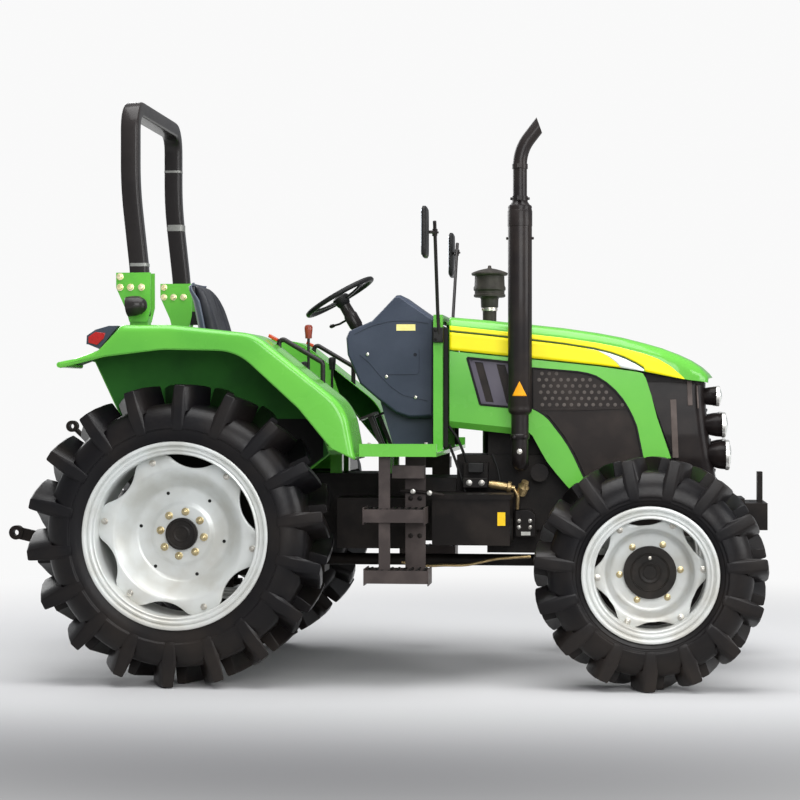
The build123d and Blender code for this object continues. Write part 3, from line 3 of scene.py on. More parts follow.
import bmesh
import bpy
import numpy as np
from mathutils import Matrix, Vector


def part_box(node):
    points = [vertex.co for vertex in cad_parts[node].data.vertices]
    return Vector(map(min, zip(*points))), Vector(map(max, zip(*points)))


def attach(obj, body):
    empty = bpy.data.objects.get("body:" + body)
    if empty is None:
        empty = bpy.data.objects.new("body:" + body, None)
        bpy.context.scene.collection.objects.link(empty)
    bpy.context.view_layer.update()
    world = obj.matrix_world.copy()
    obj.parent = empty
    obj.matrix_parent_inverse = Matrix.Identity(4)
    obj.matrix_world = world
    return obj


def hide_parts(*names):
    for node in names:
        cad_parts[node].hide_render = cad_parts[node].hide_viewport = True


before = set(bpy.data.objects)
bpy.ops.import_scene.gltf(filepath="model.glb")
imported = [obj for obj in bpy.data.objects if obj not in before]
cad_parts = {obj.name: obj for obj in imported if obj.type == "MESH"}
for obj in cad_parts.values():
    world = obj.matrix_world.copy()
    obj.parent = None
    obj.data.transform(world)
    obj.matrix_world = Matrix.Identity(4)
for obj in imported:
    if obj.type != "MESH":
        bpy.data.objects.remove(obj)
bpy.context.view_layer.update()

# A farm tractor with four driven wheels, an open driver's station and a roll bar. +X is forward, the
# driver's right hand is at -Y, and the tyres stand on Z 0.

# ------------------------------------------------------------------------------------ the studio
# A plain pale floor, darkened toward the camera by painted shade, and soft lamps overhead and at both sides.
# The floor keeps the tractor's shadow, and the world behind it is white to the camera and to anything that
# mirrors it.
FLOOR_COLOUR = (0.54, 0.54, 0.545, 1)
# Painted shade: the dark grey of the floor's colour in front of the tractor, and the Y span over which it
# fades to the pale colour
FLOOR_PAINTED_SHADE = (0.060, 0.060, 0.065, 1)
FLOOR_REACH = 60.0
FLOOR_PAINTED_SHADE_SPAN = (-3.9, -0.2)
FLOOR_GLOW_RADIUS = (2.4, 6.0)
BACKDROP_WHITE = (0.95, 0.95, 0.95, 1)
WORLD_LIGHT = (0.93, 0.96, 1.0, 1)
WORLD_STRENGTH = 0.38
CAMERA_LENS = 93.15
CAMERA_PLACE = (1.160, -10.628, 1.3725)
CAMERA_TURN = radians(6)


def add_node(tree, kind, wiring=(), **settings):
    """A shader node with its settings. Each (input, source) pair of the wiring gives an input a value, or a
    link where the source is another node's output."""
    node = tree.nodes.new("ShaderNode" + kind)
    for setting, value in settings.items():
        setattr(node, setting, value)
    for socket, source in wiring:
        if isinstance(source, bpy.types.NodeSocket):
            tree.links.new(source, node.inputs[socket])
        else:
            node.inputs[socket].default_value = source
    return node


def spread_over(tree, value, low, high, **settings):
    """A map range node's result: how far a value has come from one bound to another."""
    wiring = [("From Min", low), ("From Max", high), ("Value", value)]
    return add_node(tree, "MapRange", wiring, **settings).outputs["Result"]


def studio_floor():
    """A flat square a long way wider than the tractor. Its colour is pale under the tractor and darkened by
    painted shade to dark grey in front, and turns to plain white light far out, so that it meets the white
    world without an edge."""
    corners = [(x * FLOOR_REACH, y * FLOOR_REACH, 0) for x, y in ((-1, -1), (1, -1), (1, 1), (-1, 1))]
    mesh = bpy.data.meshes.new("floor")
    mesh.from_pydata(corners, [], [(0, 1, 2, 3)])
    floor = bpy.data.objects.new("floor", mesh)
    bpy.context.scene.collection.objects.link(floor)
    paint = bpy.data.materials.new("floor_paint")
    paint.use_nodes = True
    tree = paint.node_tree
    shader = tree.nodes["Principled BSDF"]
    shader.inputs["Roughness"].default_value = 0.9
    shader.inputs["Specular IOR Level"].default_value = 0.1
    place = add_node(tree, "TexCoord").outputs["Object"]
    split = add_node(tree, "SeparateXYZ", [(0, place)])
    # Painted shade: the floor's colour goes from dark grey in front to pale under the tractor
    near = spread_over(tree, split.outputs["Y"], *FLOOR_PAINTED_SHADE_SPAN, interpolation_type="SMOOTHSTEP")
    shade = add_node(tree, "Mix", [("A", FLOOR_PAINTED_SHADE), ("B", FLOOR_COLOUR), ("Factor", near)],
                     data_type="RGBA")
    tree.links.new(shade.outputs["Result"], shader.inputs["Base Color"])
    away = add_node(tree, "VectorMath", [(0, place)], operation="LENGTH").outputs["Value"]
    far = spread_over(tree, away, *FLOOR_GLOW_RADIUS, interpolation_type="SMOOTHSTEP")
    glow = add_node(tree, "Emission", [("Color", BACKDROP_WHITE)])
    mix = add_node(tree, "MixShader", [("Fac", far), (1, shader.outputs["BSDF"]), (2, glow.outputs[0])])
    tree.links.new(mix.outputs["Shader"], tree.nodes["Material Output"].inputs["Surface"])
    mesh.materials.append(paint)


def studio_world():
    """White to the camera, plain grey as a light."""
    world = bpy.data.worlds.new("studio")
    bpy.context.scene.world = world
    world.use_nodes = True
    tree = world.node_tree
    tree.nodes.clear()
    rays = add_node(tree, "LightPath").outputs
    seen = add_node(tree, "Math", [(0, rays["Is Camera Ray"]), (1, rays["Is Transmission Ray"])],
                    operation="MAXIMUM")
    light = add_node(tree, "Background", [("Color", WORLD_LIGHT), ("Strength", WORLD_STRENGTH)])
    white = add_node(tree, "Background", [("Color", BACKDROP_WHITE)])
    mix = add_node(tree, "MixShader",
                   [("Fac", seen.outputs[0]), (1, light.outputs[0]), (2, white.outputs[0])])
    add_node(tree, "OutputWorld", [("Surface", mix.outputs[0])])


def softbox(name, place, aim, size, power):
    """A square area lamp at a place, turned to face a point."""
    lamp = bpy.data.lights.new(name, "AREA")
    lamp.shape = "SQUARE"
    lamp.size = size
    lamp.energy = power
    holder = bpy.data.objects.new(name, lamp)
    bpy.context.scene.collection.objects.link(holder)
    holder.location = place
    ray = np.subtract(aim, place)
    yaw = np.arctan2(ray[1], ray[0]) - pi / 2
    pitch = np.arctan2(np.hypot(ray[0], ray[1]), -ray[2])
    holder.rotation_euler = (pitch, 0, yaw)


studio_floor()
studio_world()
# Lamps: name, place, the point each faces, width, watts
for lamp_row in [
    ("overhead", (0.3, -1.5, 7.0), (0, 0, 1), 6.0, 640),
    ("near_side", (2.5, -9.0, 4.2), (0.2, 0, 1.0), 5.0, 500),
    ("front_side", (8.0, -3.0, 3.5), (0.8, 0, 1.0), 4.0, 300),
    ("far_side", (-5.0, 6.0, 5.0), (0, 0, 1.2), 5.0, 300),
]:
    softbox(*lamp_row)

camera = bpy.data.objects.new("camera", bpy.data.cameras.new("camera"))
bpy.context.scene.collection.objects.link(camera)
bpy.context.scene.camera = camera
camera.data.lens = CAMERA_LENS
camera.data.sensor_width = 36
camera.location = CAMERA_PLACE
camera.rotation_euler = (radians(90), 0, CAMERA_TURN)
bpy.context.scene.view_settings.view_transform = "Standard"

# ------------------------------------------------------------------------------------ tyres
# Moulded rubber: a bellied side wall, a raised shoulder band, and tall lugs that lead forward from the
# shoulder to the middle, half a pitch apart on the two sides. Each lug ends in a rib down the shoulder.
AXLE_X = {"rear": -0.937, "front": 1.313}
REAR_X = AXLE_X["rear"]
SIDE = {"right": -1, "left": 1}
RUBBER = (0.0050, 0.0046, 0.0056, 1)
RUBBER_DUST = (0.0130, 0.0105, 0.0095, 1)


def ahead(spots):
    """Places measured from the rear axle, moved to the part's own X: each keeps its other measures."""
    return [(REAR_X + spot[0], *spot[1:]) for spot in spots]


def full_turn(count):
    """Angles spaced evenly round a circle, without the last that would repeat the first."""
    return np.linspace(0, 2 * pi, count, endpoint=False)


def heading(path):
    """The direction of a path at each of its points, as rows one long."""
    way = np.gradient(path, axis=0)
    return way / np.linalg.norm(way, axis=1, keepdims=True)


def skin(grid, wrap_u=False, wrap_v=False):
    """Faces of a grid of points (rows, columns, 3): each cell is a quad, and a wrapped way joins its last to
    its first."""
    rows, columns = grid.shape[:2]
    index = np.arange(rows * columns).reshape(rows, columns)
    if wrap_u:
        index = np.concatenate([index, index[:1]], axis=0)
    if wrap_v:
        index = np.concatenate([index, index[:, :1]], axis=1)
    quads = np.stack([index[:-1, :-1], index[1:, :-1], index[1:, 1:], index[:-1, 1:]], axis=-1)
    return grid.reshape(-1, 3), quads.reshape(-1, 4).tolist()


def capped(grid):
    """A tube of closed rows, with its first and last rows filled as flat faces."""
    points, faces = skin(grid, wrap_v=True)
    columns = grid.shape[1]
    first = list(range(columns))
    last = list(range(len(points) - columns, len(points)))
    return points, faces + [first, last[::-1]]


def slab(outline, low_y, high_y):
    """A flat plate: an outline of (x, z) points carried from one Y to another, with both faces filled."""
    outline = np.array(outline, float)
    rows = [np.insert(outline, 1, y, axis=1) for y in (low_y, high_y)]
    return capped(np.stack(rows))


def plate(outline, low_y, high_y):
    """A flat plate whose outline is measured from the rear axle."""
    return slab(ahead(outline), low_y, high_y)


def oblong(x, z, low_y, high_y):
    """A rectangular plate between two places ahead of the rear axle and two heights."""
    return plate([(x[0], z[0]), (x[1], z[0]), (x[1], z[1]), (x[0], z[1])], low_y, high_y)


def spun(profile, centre, way, u, v, count, closed):
    """A profile of (distance, radius) pairs turned about a line; u and v are square to it."""
    distance, radius = np.array(profile, float).T
    turn = full_turn(count)[:, None, None]
    ring = np.cos(turn) * np.array(u, float) + np.sin(turn) * np.array(v, float)
    grid = np.array(centre) + distance[None, :, None] * np.array(way, float) + radius[None, :, None] * ring
    return skin(grid, wrap_u=True, wrap_v=closed)


def turned(profile, centre, side, count=128, closed=True):
    """A profile of (outboard offset, radius) pairs turned about an axle along Y, like a wheel on a lathe."""
    return spun(profile, centre, (0, side, 0), (0, 0, 1), (1, 0, 0), count, closed)


def square_to(way):
    """Two directions square to a way and to each other."""
    way = np.array(way, float) / np.linalg.norm(way)
    help_way = np.array([0, 1.0, 0]) if abs(way[1]) < 0.9 else np.array([1.0, 0, 0])
    u = np.cross(way, help_way)
    u /= np.linalg.norm(u)
    return way, u, np.cross(way, u)


def turned_along(profile, centre, way, count=40, closed=False):
    """A profile of (distance, radius) pairs turned about any line through a centre."""
    way, u, v = square_to(way)
    return spun(profile, centre, way, u, v, count, closed)


def soft_edge(thing, width, angle):
    """Breaks a piece's edges with a small bevel where they turn by more than an angle in degrees."""
    edge = thing.modifiers.new("edge", "BEVEL")
    edge.width = width
    edge.segments = 2
    edge.limit_method = "ANGLE"
    edge.angle_limit = radians(angle)
    edge.harden_normals = False


def piece(name, shapes, material, body="chassis", soft_angle=35, replaces=(), bevel=0.0):
    """One object from several (points, faces) shapes, faces turned outward, with its finish and its body."""
    points, faces, start = [], [], 0
    for shape_points, shape_faces in shapes:
        points.append(shape_points)
        faces += [[start + corner for corner in face] for face in shape_faces]
        start += len(shape_points)
    mesh = bpy.data.meshes.new(name)
    mesh.from_pydata(np.concatenate(points).tolist(), [], faces)
    mesh.update()
    work = bmesh.new()
    work.from_mesh(mesh)
    bmesh.ops.recalc_face_normals(work, faces=work.faces)
    work.to_mesh(mesh)
    work.free()
    mesh.shade_smooth()
    mesh.set_sharp_from_angle(angle=radians(soft_angle))
    thing = bpy.data.objects.new(name, mesh)
    bpy.context.scene.collection.objects.link(thing)
    mesh.materials.append(material)
    if bevel:
        soft_edge(thing, bevel, 38)
    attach(thing, body)
    if replaces:
        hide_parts(*replaces)
    return thing


def finish(name, colour, second, roughness, spread=0.12, metal=0.0, patch=3.0, grain=60.0, bump=0.15,
           dust=None, dust_top=0.0, coat=0.0, specular=0.16):
    """A worn surface: broad patches lead from one colour to a second, fine grain moves the roughness and
    the bump, and dust gathers below a height."""
    material = bpy.data.materials.new(name)
    material.use_nodes = True
    tree = material.node_tree
    shader = tree.nodes["Principled BSDF"]
    shader.inputs["Metallic"].default_value = metal
    shader.inputs["Coat Weight"].default_value = coat
    shader.inputs["Coat Roughness"].default_value = 0.12
    shader.inputs["Specular IOR Level"].default_value = specular
    place = add_node(tree, "TexCoord").outputs["Object"]
    broad = add_node(tree, "TexNoise", [("Scale", patch), ("Detail", 6), ("Vector", place)]).outputs["Fac"]
    fine = add_node(tree, "TexNoise", [("Scale", grain), ("Detail", 3), ("Vector", place)]).outputs["Fac"]
    shift = spread_over(tree, broad, 0.42, 0.68)
    tint = add_node(tree, "Mix", [("A", colour), ("B", second), ("Factor", shift)], data_type="RGBA")
    if dust:
        split = add_node(tree, "SeparateXYZ", [(0, place)])
        low = add_node(tree, "MapRange", [("From Min", dust_top), ("From Max", 0.0), ("To Max", 0.75),
                                          ("Value", split.outputs["Z"])])
        uneven = add_node(tree, "Math", [(0, low.outputs["Result"]), (1, broad)], operation="MULTIPLY")
        wiring = [("B", dust), ("Factor", uneven.outputs[0]), ("A", tint.outputs["Result"])]
        tint = add_node(tree, "Mix", wiring, data_type="RGBA")
    tree.links.new(tint.outputs["Result"], shader.inputs["Base Color"])
    polish = add_node(tree, "MapRange", [("To Min", max(roughness - spread, 0.02)),
                                         ("To Max", min(roughness + spread, 1.0)), ("Value", fine)])
    tree.links.new(polish.outputs["Result"], shader.inputs["Roughness"])
    relief = add_node(tree, "Bump", [("Strength", bump), ("Distance", 0.002), ("Height", fine)])
    tree.links.new(relief.outputs["Normal"], shader.inputs["Normal"])
    return material


rubber = finish("rubber", RUBBER, RUBBER_DUST, 0.34, patch=4, grain=90, dust=(0.036, 0.028, 0.022, 1),
                dust_top=0.5, specular=0.20)

# Sizes of each tyre: tip radius, half width, bead radius, lugs on a side, angle of the first near lug in
# degrees, the tread floor's radius between lugs, and the radius of the side wall's band
TYRES = {
    "rear": dict(tip=0.725, half=0.190, bead=0.452, lugs=18, first=2.0, base=0.628, band=0.513),
    "front": dict(tip=0.552, half=0.140, bead=0.325, lugs=15, first=12.0, base=0.480, band=0.366),
}


def wheel_centre(axle, name):
    """The middle of a wheel: its axle's X, its packed tyre's middle in Y, and its tyre's radius in Z."""
    low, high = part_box(f"{axle}_tyre_{name}")
    return AXLE_X[axle], (low[1] + high[1]) / 2, TYRES[axle]["tip"]


def carcass_profile(t):
    """Half of a tyre's outer wall from the bead to the middle, as (offset, radius) knots."""
    half, bead, base, band = t["half"], t["bead"], t["base"], t["band"]
    rim_half = half - 0.026
    return [
        (rim_half, bead - 0.012), (rim_half + 0.004, bead + 0.004), (half - 0.016, bead + 0.022),
        (half - 0.011, band - 0.016), (half - 0.010, band - 0.004), (half - 0.002, band + 0.001),
        (half - 0.0015, band + 0.014), (half - 0.009, base - 0.066), (half - 0.024, base - 0.036),
        (half - 0.044, base - 0.012), (half - 0.064, base + 0.001), (half * 0.45, base + 0.005),
        (0.0, base + 0.008),
    ]


def tyre_wall(t, centre, side):
    """The outer wall, carried round to both beads, with its inner wall a hand's breadth inside."""
    outer = carcass_profile(t)
    inner = [(half - 0.022, radius - 0.004) for half, radius in outer[1:8]] + [(0.0, t["base"] - 0.03)]
    inner[0] = (outer[0][0] - 0.012, outer[0][1])
    ring = outer + [(-a, r) for a, r in outer[-2::-1]]
    ring += [(-a, r) for a, r in inner] + [(a, r) for a, r in inner[-2::-1]]
    return turned(ring, centre, side, 144)


def lug_bars(t, centre, side, first, far):
    """All lugs of one shoulder. Along a lug, stations run from the foot of its rib on the side wall, over
    the shoulder, to the middle; across it, six points go from the foot up one flank and down the other."""
    tip, half, base, band = t["tip"], t["half"], t["base"], t["band"]
    lead = 0.52 * half / tip
    # Stations: offset, tip radius, foot radius, lead, tip and foot half widths, outward lean of the tip
    table = np.array([
        (half - 0.004, band + 0.004, band - 0.012, 0.00, 0.020, 0.024, 0.004),
        (half - 0.002, band + 0.045, band + 0.020, 0.00, 0.022, 0.028, 0.002),
        (half - 0.005, tip - 0.062, base - 0.040, 0.01, 0.024, 0.034, 0.005),
        (half - 0.009, tip - 0.005, base - 0.030, 0.03, 0.026, 0.038, 0.003),
        (half * 0.62, tip, base - 0.020, 0.40, 0.025, 0.037, 0.0),
        (half * 0.22, tip, base - 0.015, 0.80, 0.024, 0.036, 0.0),
        (-0.016, tip - 0.002, base - 0.012, 1.00, 0.021, 0.032, 0.0),
    ])
    offset, top, foot, lead_share, tip_half, foot_half, lean = table.T
    ones = np.ones_like(offset)
    radius = np.stack([foot, top - 0.006, top, top, top - 0.006, foot], axis=1)
    brow = tip_half - 0.005
    across = np.stack([-foot_half, -tip_half, -brow, brow, tip_half, foot_half], axis=1)
    out = np.stack([0 * ones, lean, lean, lean, lean, 0 * ones], axis=1) + offset[:, None]
    angles = radians(first) + 2 * pi * (np.arange(t["lugs"]) + (0.5 if far else 0.0)) / t["lugs"]
    turn = angles[:, None, None] + (lead * lead_share)[None, :, None] + (across / radius)[None]
    x = centre[0] + radius[None] * np.sin(turn)
    z = centre[2] + radius[None] * np.cos(turn)
    y = centre[1] + side * (-1 if far else 1) * out[None] + 0 * turn
    bars = np.stack([x, y, z], axis=-1)
    return [capped(bar) for bar in bars]


for axle, t in TYRES.items():
    for name, side in SIDE.items():
        centre = wheel_centre(axle, name)
        shapes = [tyre_wall(t, centre, side)]
        shapes += lug_bars(t, centre, side, t["first"], False) + lug_bars(t, centre, side, t["first"], True)
        piece(f"{axle}_tyre_rubber_{name}", shapes, rubber, f"{axle}_wheel_{name}", soft_angle=30,
              replaces=[f"{axle}_tyre_{name}"], bevel=0.0025)

# ------------------------------------------------------------------------------------ wheels
# Pressed steel rims with a rolled double bead, and dished centres with six lobes bolted to lugs in the rim.
# All are sprayed silver grey, lightly dusty low down.
SILVER = (0.64, 0.665, 0.655, 1)
SILVER_WORN = (0.52, 0.53, 0.50, 1)
silver = finish("wheel_silver", SILVER, SILVER_WORN, 0.38, spread=0.08, metal=0.25, patch=6, grain=160,
                bump=0.06, dust=(0.42, 0.36, 0.29, 1), dust_top=0.9, coat=0.25)
# Plain black: painted shade in the wheel centres' holes and on the fender walls' sheet, and the belt reel's
# own colour
black_and_painted_shade = finish("black_and_painted_shade", (0.010, 0.010, 0.010, 1), (0.018, 0.017, 0.016, 1), 0.8)
zinc = finish("bolt_zinc", (0.62, 0.60, 0.55, 1), (0.45, 0.42, 0.36, 1), 0.30, metal=0.9, patch=30)
brass = finish("nut_brass", (0.62, 0.52, 0.30, 1), (0.42, 0.34, 0.18, 1), 0.30, metal=0.85, patch=25)
# Sizes of each wheel: the dished centre's radii and offsets, its six scallops, the first lobe's angle in
# degrees, the sheet's thickness, the lobe bolts' circle, and the rim
WHEELS = {
    "rear": dict(
        lobe=0.392, ring_in=0.312, ring=0.080, seat=-0.022, seat_out=0.228, hub=0.078, raised=0.155,
        scallop_at=0.510, scallop=0.182, first=40, wall=0.010, bolt_at=0.366, rim=0.432, rim_half=0.165,
        well=0.397,
    ),
    "front": dict(
        lobe=0.266, ring_in=0.218, ring=0.030, seat=-0.056, seat_out=0.183, hub=0.126, raised=0.0,
        scallop_at=0.440, scallop=0.212, first=25, wall=0.010, bolt_at=0.250, rim=0.305, rim_half=0.127,
        well=0.270,
    ),
}


def rim_ring(w, centre, side):
    """The rim as one wall, the same on both sides: rolled lip, second bead, barrel and well."""
    r, half, well = w["rim"], w["rim_half"], w["well"]
    face = [
        (half - 0.004, r + 0.004), (half + 0.002, r + 0.015), (half + 0.006, r + 0.018),
        (half + 0.0105, r + 0.0155), (half + 0.0125, r + 0.009), (half + 0.0105, r + 0.002),
        (half + 0.003, r - 0.0025), (half - 0.003, r - 0.0055), (half - 0.001, r - 0.0085),
        (half + 0.003, r - 0.0130), (half + 0.003, r - 0.0200), (half - 0.001, well + 0.0110),
        (half - 0.007, well + 0.0075), (half - 0.006, well + 0.0040), (half - 0.004, well - 0.0020),
        (half - 0.007, well - 0.0060), (half - 0.013, well - 0.0080), (half - 0.085, well - 0.0080),
    ]
    back = [(half - 0.084, well), (half - 0.030, well), (half - 0.022, well + 0.004),
            (half - 0.014, r - 0.012)]
    ring = face + [(-a, q) for a, q in face[::-1]]
    ring += [(-a, q) for a, q in back] + [(a, q) for a, q in back[::-1]]
    return turned(ring, centre, side, 160)


def dished_centre(w, centre, side):
    """A disc whose edge is the lesser of the lobe radius and the ray's distance to six round scallops; its
    offset from the wheel's middle is flat at the hub, a cone, and flat again under the lobes."""
    turn = full_turn(360)
    edge = np.full_like(turn, w["lobe"])
    for k in range(6):
        swing = turn - radians(w["first"] + 30 + 60 * k)
        reach = w["scallop"] ** 2 - (w["scallop_at"] * np.sin(swing)) ** 2
        hit = (reach > 0) & (np.cos(swing) > 0)
        ray = w["scallop_at"] * np.cos(swing) - np.sqrt(np.maximum(reach, 0))
        edge = np.where(hit, np.minimum(edge, ray), edge)
    edge = np.convolve(np.concatenate([edge[-3:], edge, edge[:3]]), np.full(7, 1 / 7), "valid")
    seat, ring, seat_out, ring_in = w["seat"], w["ring"], w["seat_out"], w["ring_in"]
    cone = ring - seat
    knots = [(w["hub"], seat)]
    if w["raised"]:
        high = w["raised"]
        knots = [(w["hub"], seat + 0.010), (high - 0.022, seat + 0.010), (high - 0.012, seat + 0.0085),
                 (high - 0.003, seat + 0.0025), (high + 0.006, seat)]
    knots += [
        (seat_out - 0.014, seat), (seat_out - 0.004, seat + 0.02 * cone),
        (seat_out + 0.006, seat + 0.10 * cone), (0.5 * (seat_out + ring_in), seat + 0.52 * cone),
        (ring_in - 0.008, ring - 0.10 * cone), (ring_in + 0.002, ring - 0.02 * cone),
        (ring_in + 0.010, ring),
    ]
    radius = np.array([k[0] for k in knots])[None, :] + 0 * edge[:, None]
    offset = np.array([k[1] for k in knots])[None, :] + 0 * edge[:, None]
    inner = ring_in + 0.010
    rim_r = np.stack([edge - 0.004, edge - 0.0012, edge], axis=1)
    rim_r = np.maximum(rim_r, inner + 0.001)
    rim_o = np.array([ring, ring - 0.0012, ring - 0.004])[None, :] + 0 * rim_r
    front_r, front_o = np.concatenate([radius, rim_r], 1), np.concatenate([offset, rim_o], 1)
    back_r, back_o = front_r[:, ::-1].copy(), front_o[:, ::-1] - w["wall"]
    all_r, all_o = np.concatenate([front_r, back_r], 1), np.concatenate([front_o, back_o], 1)
    x = centre[0] + all_r * np.sin(turn)[:, None]
    z = centre[2] + all_r * np.cos(turn)[:, None]
    return skin(np.stack([x, centre[1] + side * all_o, z], axis=-1), wrap_u=True, wrap_v=True)


def round_studs(places, axis, radius, height, sides=20, dome=0.3):
    """Short turned studs or heads at many places: each is a drum with a chamfer and a slightly domed end."""
    axis = np.array(axis, float) / np.linalg.norm(axis)
    help_way = np.array([0, 0, 1.0]) if abs(axis[2]) < 0.9 else np.array([1.0, 0, 0])
    u = np.cross(axis, help_way)
    u /= np.linalg.norm(u)
    v = np.cross(axis, u)
    turn = full_turn(sides)[:, None]
    ring = np.cos(turn) * u + np.sin(turn) * v
    steps = [(0, 1.0), (1 - dome, 1.0), (1 - dome * 0.3, 0.86), (1.0, 0.55)]
    shapes = []
    for place in places:
        rows = [np.array(place) + axis * height * share + ring * radius * width for share, width in steps]
        shapes.append(capped(np.stack(rows)))
    return shapes


def hex_heads(places, axis, radius, height):
    """Six-sided nuts or bolt heads with chamfered corners, on a thin washer."""
    shapes = round_studs(places, axis, radius, height, sides=6, dome=0.25)
    return shapes + round_studs(places, axis, radius * 1.3, height * 0.22, sides=20, dome=0.3)


def on_circle(centre, radius, first, count, y):
    """Evenly spaced places round an axle at one radius, from a first angle, forward of straight up."""
    turn = radians(first) + 2 * pi * np.arange(count) / count
    x, z = centre[0] + radius * np.sin(turn), centre[2] + radius * np.cos(turn)
    return np.stack([x, y + 0 * turn, z], axis=1)


def rim_tabs(w, centre, side):
    """Six flat bars from the rim to the back of the dished centre's lobes."""
    tabs = []
    for k in range(6):
        a = radians(w["first"] + 60 * k)
        inner, outer = w["lobe"] - 0.05, w["rim"] - 0.016
        corners = [(inner, -0.03), (inner, 0.03), (outer, 0.03), (outer, -0.03)]
        loop = [(centre[0] + r * sin(a) + s * cos(a), centre[2] + r * cos(a) - s * sin(a))
                for r, s in corners]
        lobe_y = centre[1] + side * w["ring"]
        front, back = (lobe_y - side * (w["wall"] + depth) for depth in (0.001, 0.020))
        tabs.append(slab(loop, front, back))
    return tabs


for axle, w in WHEELS.items():
    for name, side in SIDE.items():
        centre = wheel_centre(axle, name)
        body = f"{axle}_wheel_{name}"
        out = (0, side, 0)
        steel = [rim_ring(w, centre, side), dished_centre(w, centre, side)]
        piece(f"{axle}_wheel_steel_{name}", steel, silver, body, replaces=[f"{axle}_wheel_{name}"],
              soft_angle=40)
        lobe_bolts = on_circle(centre, w["bolt_at"], w["first"], 6, centre[1] + side * w["ring"])
        piece(f"{axle}_rim_tabs_{name}", rim_tabs(w, centre, side), silver, body, bevel=0.002)
        piece(f"{axle}_lobe_bolts_{name}", hex_heads(lobe_bolts, out, 0.0125, 0.012), zinc, body)
        seat_y = centre[1] + side * w["seat"]
        if axle == "rear":
            ring_top = seat_y + side * 0.010
            nuts = hex_heads(on_circle(centre, 0.108, 8.5, 8, ring_top), out, 0.0150, 0.017)
            stud_ends = on_circle(centre, 0.108, 8.5, 8, ring_top + side * 0.014)
            studs = round_studs(stud_ends, out, 0.0075, 0.013)
            piece(f"rear_hub_nuts_{name}", nuts + studs, brass, body)
            # Black discs on the dish's six holes, painted shade for the dark seen through them
            holes = on_circle(centre, 0.2075, 40, 6, seat_y + side * 0.0004)
            holes = round_studs(holes, out, 0.0085, 0.0006, dome=0.1)
            piece(f"rear_centre_hole_shade_{name}", holes, black_and_painted_shade, body)
        else:
            nuts = hex_heads(on_circle(centre, 0.1445, 25, 6, seat_y), out, 0.0125, 0.014)
            piece(f"front_hub_nuts_{name}", nuts, brass, body)

# ------------------------------------------------------------------------------------ hubs
# Cast axle ends, painted black: a stepped cap through the rear wheel, and the front planetary drum with its
# bolted, ribbed cover and a bright filler plug near the top.
hub_black = finish("hub_black", (0.010, 0.009, 0.0085, 1), (0.022, 0.018, 0.016, 1), 0.40, patch=12,
                   grain=200, bump=0.25, dust=(0.06, 0.05, 0.04, 1), dust_top=0.9)
# Turned sections: distance outboard of the wheel's seat, radius
REAR_CAP = [
    (-0.105, 0.0), (-0.105, 0.044), (-0.085, 0.058), (-0.042, 0.060), (-0.040, 0.148), (-0.0105, 0.150),
    (-0.010, 0.0775), (0.030, 0.0775), (0.037, 0.073), (0.038, 0.067), (0.034, 0.062), (0.026, 0.058),
    (0.026, 0.048), (0.034, 0.043), (0.036, 0.036), (0.034, 0.028), (0.026, 0.024), (0.026, 0.014),
    (0.030, 0.010), (0.031, 0.0),
]
FRONT_COVER = [
    (-0.010, 0.0), (-0.010, 0.1255), (0.006, 0.1255), (0.010, 0.122), (0.010, 0.098), (0.024, 0.094),
    (0.028, 0.088), (0.024, 0.083), (0.016, 0.080), (0.016, 0.058), (0.026, 0.054), (0.030, 0.046),
    (0.028, 0.034), (0.020, 0.030), (0.020, 0.0),
]
for name, side in SIDE.items():
    seat = WHEELS["rear"]["seat"]
    cap = [(seat + out, radius) for out, radius in REAR_CAP]
    cap = turned(cap, wheel_centre("rear", name), side, 72, closed=False)
    piece(f"rear_hub_cap_{name}", [cap], hub_black, f"rear_wheel_{name}", soft_angle=30)
    centre = wheel_centre("front", name)
    body = f"front_wheel_{name}"
    seat = WHEELS["front"]["seat"]
    cover = turned([(seat + out, radius) for out, radius in FRONT_COVER], centre, side, 96, closed=False)
    face_y = centre[1] + side * (seat + 0.008)
    bolts = hex_heads(on_circle(centre, 0.110, 10, 16, face_y + side * 0.002), (0, side, 0), 0.0070, 0.010)
    piece(f"front_hub_cover_{name}", [cover] + bolts, hub_black, body, soft_angle=30)
    plug = on_circle(centre, 0.069, 0, 1, centre[1] + side * (seat + 0.016))
    piece(f"front_hub_plug_{name}", hex_heads(plug, (0, side, 0), 0.010, 0.010), zinc, body)

# ------------------------------------------------------------------------------------ fenders
# Pressed sheet steel, gloss green: a bent top, a rolled corner, a turned-down outer lip and a flat inner
# wall, bolted to the platform and the axle housings. The skin's underside and a lining on the wall's tyre
# side are a darker matt green as painted shade, and a black sheet low on that side is painted shade seen
# through the rear wheel.
GREEN = (0.116, 0.425, 0.049, 1)
GREEN_DEEP = (0.088, 0.358, 0.041, 1)
green = finish("green_gloss", GREEN, GREEN_DEEP, 0.27, spread=0.03, patch=2.2, grain=9, bump=0.002,
               dust=(0.25, 0.24, 0.12, 1), dust_top=0.9, coat=0.5)
# Painted shade: a darker matt copy of the green for the fender skin's underside and the lining on the wall's
# tyre side
green_painted_shade = finish("green_painted_shade", (0.026, 0.150, 0.020, 1), (0.018, 0.105, 0.016, 1), 0.62, patch=5,
                    grain=70, bump=0.1)
FENDER_IN, FENDER_OUT, FENDER_TOP = 0.552, 0.950, 1.731
SHEET_STEEL = 0.004
FENDER_ROWS = 140
FENDER_ROLL = 0.034
